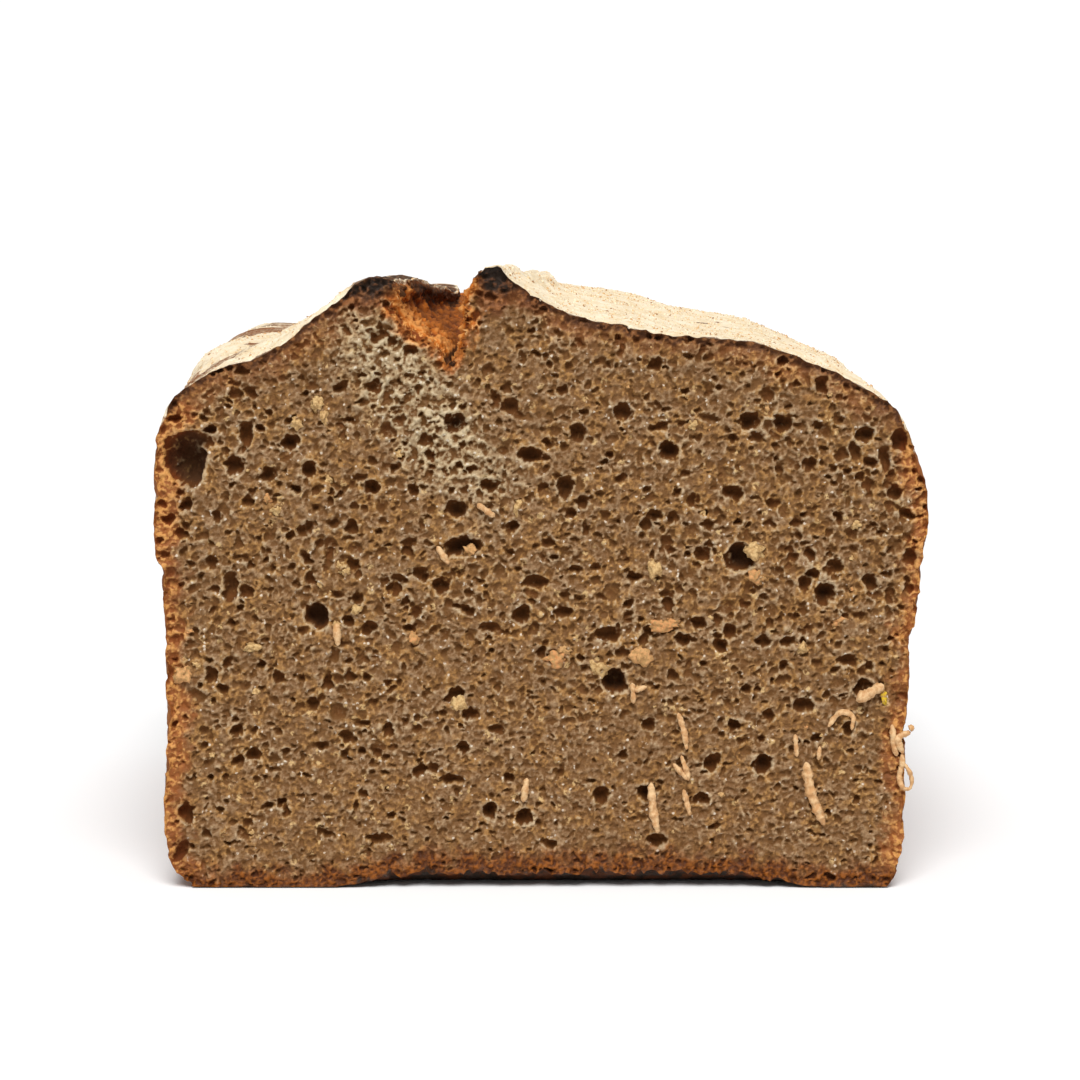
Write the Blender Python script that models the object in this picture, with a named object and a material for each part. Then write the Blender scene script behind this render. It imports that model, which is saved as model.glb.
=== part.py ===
"""Half of a tin-baked rye loaf, cut across and standing on its base.

The cut face looks along -Y and the heel along +Y, with +Z up. The origin is at the middle of
the base. The loaf is one solid: its crust split along the top while it baked, which left a
burnt cleft between two lobes, and the cut opened the larger pores of the crumb.
"""

import math
import random

import bmesh
import bpy
from mathutils import Matrix, Vector, noise

# Driving dimensions, in metres
LOAF_WIDTH = 0.121
LOAF_HEIGHT = 0.0983
LOAF_LENGTH = 0.118

# The section below is drawn in millimetres for a loaf of this width and height
DRAWN_WIDTH = 121.0
DRAWN_HEIGHT = 97.0
ACROSS = LOAF_WIDTH / DRAWN_WIDTH
UPWARD = LOAF_HEIGHT / DRAWN_HEIGHT

# Left side and lobe from the base to the lip: x, z and how far a point follows the lip
LEFT_KNOTS = (
    (-55.4, 0.0, 0.0),
    (-58.2, 3.0, 0.0),
    (-59.4, 8.0, 0.0),
    (-59.4, 18.0, 0.0),
    (-58.9, 29.4, 0.0),
    (-59.2, 45.0, 0.0),
    (-60.3, 56.0, 0.0),
    (-60.6, 66.0, 0.0),
    (-58.6, 74.2, 0.0),
    (-52.4, 79.6, 0.0),
    (-43.2, 84.6, 0.3),
    (-34.4, 90.3, 0.65),
    (-29.0, 94.0, 0.95),
    (-25.5, 94.9, 1.0),
    (-22.4, 94.5, 1.0),
)
# The cleft's two walls, x and z, which meet at its floor
LEFT_WALL_KNOTS = ((-22.2, 92.5), (-22.7, 90.1), (-20.7, 87.6), (-16.9, 85.4))
CLEFT_FLOOR = (-13.9, 83.3)
RIGHT_WALL_KNOTS = ((-12.0, 86.1), (-11.8, 89.8), (-10.5, 93.5))
# Right lobe and side from the lip down to the base
RIGHT_KNOTS = (
    (-8.6, 96.4, 1.0),
    (-6.6, 96.6, 1.0),
    (-4.7, 94.8, 0.95),
    (-0.8, 92.5, 0.7),
    (6.1, 89.4, 0.35),
    (14.1, 87.5, 0.25),
    (23.3, 85.8, 0.1),
    (33.0, 84.5, 0.0),
    (41.8, 82.2, 0.0),
    (50.4, 78.1, 0.0),
    (56.0, 74.2, 0.0),
    (58.4, 68.9, 0.0),
    (60.0, 63.0, 0.0),
    (60.4, 56.0, 0.0),
    (58.8, 45.0, 0.0),
    (57.7, 29.4, 0.0),
    (57.7, 12.0, 0.0),
    (56.9, 4.0, 0.0),
    (54.9, 0.0, 0.0),
)

# How the section changes on its way to the heel, in millimetres
LIP_SHIFT_MID = 8.0
LIP_SHIFT_BACK = -3.0
LEFT_LIP_DROP_MID = 4.5
LEFT_LIP_DROP_BACK = 2.4
RIGHT_LIP_DROP_NEAR = 4.7
RIGHT_LIP_DROP_BACK = 0.6
RIGHT_FILL = 2.0
RIGHT_FILL_CENTRE = 10.5
RIGHT_FILL_SPREAD = 9.5
FLOOR_RISE = 2.6
LOBE_FALL = 1.8
LOBE_FALL_FROM = 60.0
SHOULDER = (-56.0, 77.0)
SHOULDER_SPREAD = 6.0
SHOULDER_LIFT = 3.4

# The base is flat but for a low arch under the cut edge, in millimetres
ARCH_HEIGHT = 2.3
ARCH_LEFT = -34.0
ARCH_RIGHT = 45.0
ARCH_RAMP = 16.0
ARCH_REACH = 0.045

# Rounding of the heel, in metres
HEEL_DEPTH = 0.016
HEEL_SIDE = 0.013
HEEL_TOP = 0.015
HEEL_BASE = 0.006
HEEL_CROWN = 0.0012
HEEL_INNER = 0.5

# Unevenness of the crust, in metres
SWELL_SIZE = 0.016
SWELL_TOP = 0.0011
SWELL_SIDE = 0.0006
SWELL_CENTRE = 0.045
SWELL_SEED = Vector((3.7, 1.3, 8.1))

# Points round the section and rings along the loaf
LEFT_COUNT = 34
CLEFT_COUNT = 14
RIGHT_COUNT = 36
BASE_COUNT = 20
BODY_RINGS = 15
HEEL_RINGS = 5
CURVE_STEPS = 10

# The largest pores on the cut: x, z, width and height in millimetres, and tilt in degrees
LARGE_PORES = (
    (-55.2, 66.9, 6.2, 8.8, 20.0),
    (31.3, 52.0, 5.0, 4.4, 20.0),
    (11.7, 32.7, 4.4, 4.1, -15.0),
    (-35.1, 42.6, 4.1, 4.2, 0.0),
    (-12.4, 53.7, 6.6, 3.4, 8.0),
    (-1.7, 67.8, 3.9, 2.8, 5.0),
    (-13.4, 59.4, 3.8, 3.0, -10.0),
    (3.9, 62.8, 2.8, 3.9, 0.0),
    (10.6, 39.9, 4.6, 2.6, 10.0),
    (-0.6, 48.0, 4.4, 2.3, 0.0),
    (44.6, 46.3, 3.8, 3.4, 30.0),
    (-48.8, 47.4, 2.6, 5.4, -8.0),
    (-46.0, 71.0, 2.4, 3.9, 0.0),
    (9.7, 14.7, 2.5, 3.1, 0.0),
    (37.6, 72.8, 3.1, 2.8, 0.0),
    (48.2, 35.7, 3.9, 1.9, 0.0),
    (3.4, 43.4, 3.2, 2.1, 0.0),
    (-42.6, 64.9, 3.1, 2.5, 0.0),
    (-14.2, 17.1, 3.9, 1.9, 0.0),
    (-25.7, 7.6, 4.6, 1.6, 0.0),
)
# The middling pores, spread over the crumb, in metres
PORE_COUNT = 52
PORE_SEED = 41
PORE_WIDTH = (0.0019, 0.0034)
PORE_FLATNESS = (0.65, 1.0)
PORE_GAP = 0.0008
PORE_REACH = 0.052
PORE_LOWEST = 0.006
PORE_HIGHEST = 0.077
PORE_SLOPE = 0.18
PORE_TRIES = 4000
PORE_SEGMENTS = 10
PORE_RINGS = 6
PORE_SINK = 0.25
PORE_DEPTH = 0.62

# The finish of the loaf as a whole
BREAD_COLOUR = (0.235, 0.125, 0.055, 1.0)
BREAD_ROUGHNESS = 0.85
SHARP_ANGLE = math.radians(40)


def clear_scene():
    """Removes whatever the scene holds."""
    for item in list(bpy.data.objects):
        bpy.data.objects.remove(item)


def ease(value):
    """Rises smoothly from 0 to 1 as the value does."""
    value = min(max(value, 0.0), 1.0)
    return value * value * (3.0 - 2.0 * value)


def curve_through(knots):
    """Points along a smooth curve that passes through the knots."""
    line = [knots[0] * 2 - knots[1], *knots, knots[-1] * 2 - knots[-2]]
    points = []
    for a, b, c, d in zip(line, line[1:], line[2:], line[3:]):
        for step in range(CURVE_STEPS):
            u = step / CURVE_STEPS
            bend = (a * 2 - b * 5 + c * 4 - d) * u**2
            turn = (b * 3 - a - c * 3 + d) * u**3
            points.append((b * 2 + (c - a) * u + bend + turn) * 0.5)
    points.append(knots[-1])
    return points


def spread_evenly(line, count):
    """As many points as asked at even steps along a line, without its last one."""
    reach = [0.0]
    for start, end in zip(line, line[1:]):
        reach.append(reach[-1] + (end - start).length)
    points = []
    at = 0
    for index in range(count):
        target = reach[-1] * index / count
        while reach[at + 1] < target:
            at += 1
        share = (target - reach[at]) / (reach[at + 1] - reach[at])
        points.append(line[at].lerp(line[at + 1], share))
    return points


def lip_shift(along):
    """How far the cleft has wandered to the right, in millimetres."""
    return LIP_SHIFT_MID * ease(along / 0.5) + LIP_SHIFT_BACK * ease((along - 0.5) / 0.5)


def left_drop(along):
    """How far the left lip has fallen below its height at the cut."""
    return LEFT_LIP_DROP_MID * ease((along - 0.1) / 0.4) + LEFT_LIP_DROP_BACK * ease((along - 0.5) / 0.5)


def right_drop(along):
    """How far the right lip has fallen below its height at the cut."""
    return RIGHT_LIP_DROP_NEAR * ease(along / 0.55) + RIGHT_LIP_DROP_BACK * ease((along - 0.55) / 0.45)


def lobe_points(knots, along, drop):
    """One side and lobe of the section, in millimetres."""
    points = []
    for x, z, follows in knots:
        lift = SHOULDER_LIFT * ease(along / 0.4)
        distance = math.hypot(x - SHOULDER[0], z - SHOULDER[1])
        near_shoulder = lift * math.exp(-0.5 * (distance / SHOULDER_SPREAD) ** 2)
        fall = LOBE_FALL * along * ease((z - LOBE_FALL_FROM) / (DRAWN_HEIGHT - LOBE_FALL_FROM))
        from_fill = (x - RIGHT_FILL_CENTRE) / RIGHT_FILL_SPREAD
        fill = RIGHT_FILL * ease(along / 0.45) * math.exp(-0.5 * from_fill ** 2)
        height = z - follows * drop - (1.0 - follows) * fall + near_shoulder + fill
        points.append(Vector((x + follows * lip_shift(along), height)))
    return points


def wall_points(knots, along, drop):
    """One wall of the cleft, whose height shrinks as its lip falls."""
    depth = RIGHT_KNOTS[0][1] - CLEFT_FLOOR[1]
    points = []
    for x, z in knots:
        share = (z - CLEFT_FLOOR[1]) / depth
        rise = FLOOR_RISE * ease((along - 0.6) / 0.4) * (1.0 - share)
        points.append(Vector((x + lip_shift(along), z - share * drop + rise)))
    return points


def base_points(start, end, along):
    """The base from right to left, with the low arch under the cut edge."""
    points = []
    fade = 1.0 - ease(along / ARCH_REACH)
    for index in range(BASE_COUNT):
        x = start.x + (end.x - start.x) * index / BASE_COUNT
        ramps = ease((x - ARCH_LEFT) / ARCH_RAMP) * ease((ARCH_RIGHT - x) / ARCH_RAMP)
        points.append(Vector((x, ARCH_HEIGHT * ramps * fade)))
    return points


def section(along):
    """The loaf's outline at a share of its length from the cut, in millimetres."""
    left = lobe_points(LEFT_KNOTS, along, left_drop(along))
    right = lobe_points(RIGHT_KNOTS, along, right_drop(along))
    cleft = [
        left[-1],
        *wall_points(LEFT_WALL_KNOTS, along, left_drop(along)),
        *wall_points([CLEFT_FLOOR], along, 0.0),
        *wall_points(RIGHT_WALL_KNOTS, along, right_drop(along)),
        right[0],
    ]
    return [
        *spread_evenly(curve_through(left), LEFT_COUNT),
        *spread_evenly(curve_through(cleft), CLEFT_COUNT),
        *spread_evenly(curve_through(right), RIGHT_COUNT),
        *base_points(right[-1], left[0], along),
    ]


def swell(point):
    """How far the crust stands out at a point, which is nothing at the base."""
    amount = noise.noise(point / SWELL_SIZE + SWELL_SEED)
    top_share = ease((point.z / LOAF_HEIGHT - 0.7) / 0.1)
    size = SWELL_SIDE + (SWELL_TOP - SWELL_SIDE) * top_share
    return amount * size * ease(point.z / (0.15 * LOAF_HEIGHT))


def ring_points(depth, inset):
    """The outline in place: depth in metres from the cut, and how far the heel has closed."""
    points = []
    for drawn in section(depth / LOAF_LENGTH):
        x = drawn.x * ACROSS
        z = drawn.y * UPWARD
        point = Vector((x, depth - LOAF_LENGTH / 2, z))
        outward = Vector((x, 0.0, z - SWELL_CENTRE)).normalized()
        point += outward * swell(point)
        height_share = point.z / LOAF_HEIGHT
        point.x *= 1.0 - inset * HEEL_SIDE / (LOAF_WIDTH / 2)
        point.z += inset * (HEEL_BASE * (1.0 - height_share) - HEEL_TOP * height_share)
        points.append(point)
    return points


def all_rings():
    """Every ring of the crust, from the cut to the crown of the heel."""
    straight = LOAF_LENGTH - HEEL_DEPTH
    depths = [straight * index / BODY_RINGS for index in range(BODY_RINGS)]
    depths.insert(1, ARCH_REACH * LOAF_LENGTH / 2)
    rings = [ring_points(depth, 0.0) for depth in depths]
    for index in range(HEEL_RINGS):
        angle = math.radians(90) * index / (HEEL_RINGS - 1)
        depth = straight + (HEEL_DEPTH - HEEL_CROWN) * math.sin(angle)
        rings.append(ring_points(depth, 1.0 - math.cos(angle)))
    middle = sum(rings[-1], Vector()) / len(rings[-1])
    crown = []
    for point in rings[-1]:
        inner = middle.lerp(point, HEEL_INNER)
        inner.y = LOAF_LENGTH / 2
        crown.append(inner)
    rings.append(crown)
    return rings


def centre_shift(rings):
    """What brings the middle of the loaf's width over the origin."""
    across = [point.x for ring in rings for point in ring]
    return -(min(across) + max(across)) / 2


def add_crust(bm, rings, shift):
    """Joins the rings into a closed body with a flat cut face."""
    lines = []
    for ring in rings:
        lines.append([bm.verts.new(point + Vector((shift, 0.0, 0.0))) for point in ring])
    for near, far in zip(lines, lines[1:]):
        for index in range(len(near)):
            after = (index + 1) % len(near)
            bm.faces.new((near[index], near[after], far[after], far[index]))
    bm.faces.new(reversed(lines[0]))
    bm.faces.new(lines[-1])
    bmesh.ops.recalc_face_normals(bm, faces=bm.faces)


def large_pores():
    """The largest pores, as x, z, width, height and tilt."""
    pores = []
    for x, z, width, height, tilt in LARGE_PORES:
        size = (width * ACROSS, height * UPWARD)
        pores.append((x * ACROSS, z * UPWARD, *size, math.radians(tilt)))
    return pores


def middling_pores(taken):
    """Seeded pores between the largest ones, clear of each other and of the crust."""
    draw = random.Random(PORE_SEED)
    pores = list(taken)
    for _ in range(PORE_TRIES):
        x = draw.uniform(-PORE_REACH, PORE_REACH)
        z = draw.uniform(PORE_LOWEST, PORE_HIGHEST)
        width = draw.uniform(*PORE_WIDTH)
        height = width * draw.uniform(*PORE_FLATNESS)
        tilt = draw.uniform(0.0, math.pi)
        fits = z < PORE_HIGHEST + PORE_SLOPE * (PORE_REACH / 2 - abs(x))
        for other in pores:
            reach = (max(other[2], other[3]) + width) / 2 + PORE_GAP
            fits = fits and math.hypot(other[0] - x, other[1] - z) > reach
        if fits:
            pores.append((x, z, width, height, tilt))
        if len(pores) == len(taken) + PORE_COUNT:
            break
    return pores


def add_pore(bm, pore, shift):
    """An uneven ball that cuts one pore, its middle just behind the cut face."""
    x, z, width, height, tilt = pore
    depth = PORE_DEPTH * min(width, height)
    opening = math.sqrt(1.0 - PORE_SINK**2)
    place = Matrix.Translation((x + shift, PORE_SINK * depth - LOAF_LENGTH / 2, z))
    size = Matrix.Diagonal((width / 2 / opening, depth, height / 2 / opening, 1.0))
    bmesh.ops.create_uvsphere(
        bm,
        u_segments=PORE_SEGMENTS,
        v_segments=PORE_RINGS,
        radius=1.0,
        matrix=place @ Matrix.Rotation(tilt, 4, "Y") @ size,
    )


def bread_material():
    """Matte brown bread."""
    material = bpy.data.materials.new("rye_bread")
    material.use_nodes = True
    shader = material.node_tree.nodes["Principled BSDF"]
    shader.inputs["Base Color"].default_value = BREAD_COLOUR
    shader.inputs["Roughness"].default_value = BREAD_ROUGHNESS
    shader.inputs["Metallic"].default_value = 0.0
    material.diffuse_color = BREAD_COLOUR
    return material


def make_object(name, bm):
    """Turns a finished bmesh into an object of the scene."""
    mesh = bpy.data.meshes.new(name)
    bm.to_mesh(mesh)
    bm.free()
    item = bpy.data.objects.new(name, mesh)
    bpy.context.scene.collection.objects.link(item)
    return item


def build_pores(shift):
    """The cutter that opens the pores in the cut face."""
    bm = bmesh.new()
    for pore in middling_pores(large_pores()):
        add_pore(bm, pore, shift)
    cutter = make_object("pore_cutter", bm)
    cutter.hide_render = True
    cutter.display_type = "WIRE"
    return cutter


def build_loaf():
    """The half loaf, with its pores cut."""
    rings = all_rings()
    shift = centre_shift(rings)
    bm = bmesh.new()
    add_crust(bm, rings, shift)
    loaf = make_object("loaf", bm)
    loaf.data.materials.append(bread_material())
    loaf.data.shade_smooth()
    loaf.data.set_sharp_from_angle(angle=SHARP_ANGLE)
    cut = loaf.modifiers.new("pores", "BOOLEAN")
    cut.operation = "DIFFERENCE"
    cut.solver = "EXACT"
    cut.object = build_pores(shift)


clear_scene()
build_loaf()
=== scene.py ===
"""The half rye loaf in its finished look: porous crumb, floured and burnt crust, loose crumbs."""

import math
import random
from types import SimpleNamespace

import bmesh
import bpy
import numpy as np
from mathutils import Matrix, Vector, noise
from mathutils.geometry import delaunay_2d_cdt


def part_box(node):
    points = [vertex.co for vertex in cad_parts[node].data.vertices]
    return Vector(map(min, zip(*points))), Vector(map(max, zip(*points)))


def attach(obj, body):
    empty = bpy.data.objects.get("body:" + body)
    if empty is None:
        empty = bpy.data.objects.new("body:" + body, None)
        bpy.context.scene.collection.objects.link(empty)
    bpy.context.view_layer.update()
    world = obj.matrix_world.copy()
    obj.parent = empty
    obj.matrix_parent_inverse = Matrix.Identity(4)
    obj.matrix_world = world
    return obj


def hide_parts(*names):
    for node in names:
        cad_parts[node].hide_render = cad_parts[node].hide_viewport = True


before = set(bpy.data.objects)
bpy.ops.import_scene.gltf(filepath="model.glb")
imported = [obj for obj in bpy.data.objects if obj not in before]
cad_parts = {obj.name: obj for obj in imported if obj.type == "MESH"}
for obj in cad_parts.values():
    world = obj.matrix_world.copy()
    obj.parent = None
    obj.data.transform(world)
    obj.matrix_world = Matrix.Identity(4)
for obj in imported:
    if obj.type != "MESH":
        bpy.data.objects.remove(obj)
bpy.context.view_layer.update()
LOW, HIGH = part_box("loaf")

# Sizes in metres come from the frame; the section is drawn in millimetres
MM = 0.001
LOAF_WIDTH = 121 * MM
LOAF_HEIGHT = 98.3 * MM
LOAF_LENGTH = HIGH.y - LOW.y
CUT = LOW.y
DRAWN_HEIGHT = 97.0
UPWARD = LOAF_HEIGHT / MM / DRAWN_HEIGHT

# Left side and lobe from the base to the lip: x, z and how far a point follows the lip
LEFT_KNOTS = (
    (-55.4, 0.0, 0.0),
    (-58.2, 3.0, 0.0),
    (-59.4, 8.0, 0.0),
    (-59.4, 18.0, 0.0),
    (-58.9, 29.4, 0.0),
    (-59.2, 45.0, 0.0),
    (-60.3, 56.0, 0.0),
    (-60.6, 66.0, 0.0),
    (-58.6, 74.2, 0.0),
    (-52.4, 79.6, 0.0),
    (-43.2, 84.6, 0.3),
    (-34.4, 90.3, 0.65),
    (-29.0, 94.0, 0.95),
    (-25.5, 94.9, 1.0),
    (-22.4, 94.5, 1.0),
)
# The cleft's two walls, x and z, which meet at its floor
LEFT_WALL_KNOTS = ((-22.2, 92.5), (-22.7, 90.1), (-20.7, 87.6), (-16.9, 85.4))
CLEFT_FLOOR = (-13.9, 83.3)
RIGHT_WALL_KNOTS = ((-12.0, 86.1), (-11.8, 89.8), (-10.5, 93.5))
# Right lobe and side from the lip down to the base, in the same way
RIGHT_KNOTS = (
    (-8.6, 96.4, 1.0),
    (-6.6, 96.6, 1.0),
    (-4.7, 94.8, 0.95),
    (-0.8, 92.5, 0.7),
    (6.1, 89.4, 0.35),
    (14.1, 87.5, 0.25),
    (23.3, 85.8, 0.1),
    (33.0, 84.5, 0.0),
    (41.8, 82.2, 0.0),
    (50.4, 78.1, 0.0),
    (56.0, 74.2, 0.0),
    (58.4, 68.9, 0.0),
    (60.0, 63.0, 0.0),
    (60.4, 56.0, 0.0),
    (58.8, 45.0, 0.0),
    (57.7, 29.4, 0.0),
    (57.7, 12.0, 0.0),
    (56.9, 4.0, 0.0),
    (54.9, 0.0, 0.0),
)

# How the section changes on its way to the heel, in millimetres
LIP_SHIFT_MID = 8.0
LIP_SHIFT_BACK = -3.0
LEFT_LIP_DROP_MID = 4.5
LEFT_LIP_DROP_BACK = 2.4
RIGHT_LIP_DROP_NEAR = 4.7
RIGHT_LIP_DROP_BACK = 0.6
RIGHT_FILL = 2.0
RIGHT_FILL_CENTRE = 10.5
RIGHT_FILL_SPREAD = 9.5
FLOOR_RISE = 2.6
LOBE_FALL = 1.8
LOBE_FALL_FROM = 60.0
SHOULDER = (-56.0, 77.0)
SHOULDER_SPREAD = 6.0
SHOULDER_LIFT = 3.4
ARCH_HEIGHT = 2.3
ARCH_LEFT = -34.0
ARCH_RIGHT = 45.0
ARCH_RAMP = 16.0
ARCH_REACH = 0.045

# Rounding of the heel and unevenness of the crust, in metres
HEEL_DEPTH = 0.016
HEEL_SIDE = 0.013
HEEL_TOP = 0.015
HEEL_BASE = 0.006
HEEL_CROWN = 0.0012
SWELL_SIZE = 0.016
SWELL_TOP = 0.0011
SWELL_SIDE = 0.0006
SWELL_CENTRE = 0.045
SWELL_SEED = Vector((3.7, 1.3, 8.1))

# Fineness of the meshes: counts of points and rings, and cells in millimetres
LEFT_COUNT = 220
CLEFT_COUNT = 100
RIGHT_COUNT = 240
BASE_COUNT = 220
BODY_RINGS = 130
RING_SPREAD = 0.5
HEEL_RINGS = 24
CURVE_STEPS = 12
CRUMB_CELL = 0.19
HEEL_CELL = 0.7
RASTER = 0.09
EDGE_CELL = 0.5
# About how far apart the cleft's points lie, and the width over which its lips blend, in millimetres
CLEFT_STEP = 0.36
LIP_BLEND = 2.0
# The crust's strips, in their order round the loaf
CRUST_NAMES = ("crust_left", "crust_cleft", "crust_right", "crust_base")

# Noises: the size of their bumps in millimetres, how many layers they have, and their seed
NOISES = {
    "patches": (9.0, 3, 51), "fray": (2.2, 3, 63), "lumps": (7.0, 2, 11), "grain": (1.3, 3, 21),
    "dusting": (1.1, 2, 22), "pits": (2.6, 1, 31), "small pits": (1.2, 1, 33), "tears": (3.2, 4, 41),
    "fibres": (1.1, 3, 45), "threads": (0.55, 2, 46), "clods": (1.3, 3, 49), "rags": (1.7, 3, 48),
    "wear": (6.0, 3, 53), "bare rims": (1.5, 1, 71), "burnt lips": (3.4, 3, 65),
    "burnt walls": (1.6, 2, 61), "wander x": (1.5, 2, 101), "quiver x": (0.5, 2, 104),
    "wander z": (1.5, 2, 111), "quiver z": (0.5, 2, 114), "ridges": (1.3, 3, 121),
    "grit": (0.45, 2, 126), "waves": (5.0, 2, 131), "edge patches": (6.0, 3, 141),
    "edge tears": (1.6, 3, 151), "dry crumbs": (0.7, 2, 161), "heel pits": (2.6, 1, 205),
    "heel lumps": (6.0, 3, 201), "heel grain": (1.8, 2, 211),
}

# The largest pores on the cut: x, z, width and height in millimetres, and tilt in degrees
LARGE_PORES = (
    (-55.2, 66.9, 6.2, 8.8, 20.0), (31.3, 52.0, 5.0, 4.4, 20.0), (11.7, 32.7, 4.4, 4.1, -15.0),
    (-35.1, 42.6, 4.1, 4.2, 0.0), (-12.4, 53.7, 6.6, 3.4, 8.0), (-1.7, 67.8, 3.9, 2.8, 5.0),
    (-13.4, 59.4, 3.8, 3.0, -10.0), (3.9, 62.8, 2.8, 3.9, 0.0), (10.6, 39.9, 4.6, 2.6, 10.0),
    (-0.6, 48.0, 4.4, 2.3, 0.0), (44.6, 46.3, 3.8, 3.4, 30.0), (-48.8, 47.4, 2.6, 5.4, -8.0),
    (-46.0, 71.0, 2.4, 3.9, 0.0), (9.7, 14.7, 2.5, 3.1, 0.0), (37.6, 72.8, 3.1, 2.8, 0.0),
    (48.2, 35.7, 3.9, 1.9, 0.0), (3.4, 43.4, 3.2, 2.1, 0.0), (-42.6, 64.9, 3.1, 2.5, 0.0),
    (-14.2, 17.1, 3.9, 1.9, 0.0), (-25.7, 7.6, 4.6, 1.6, 0.0),
)
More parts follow.
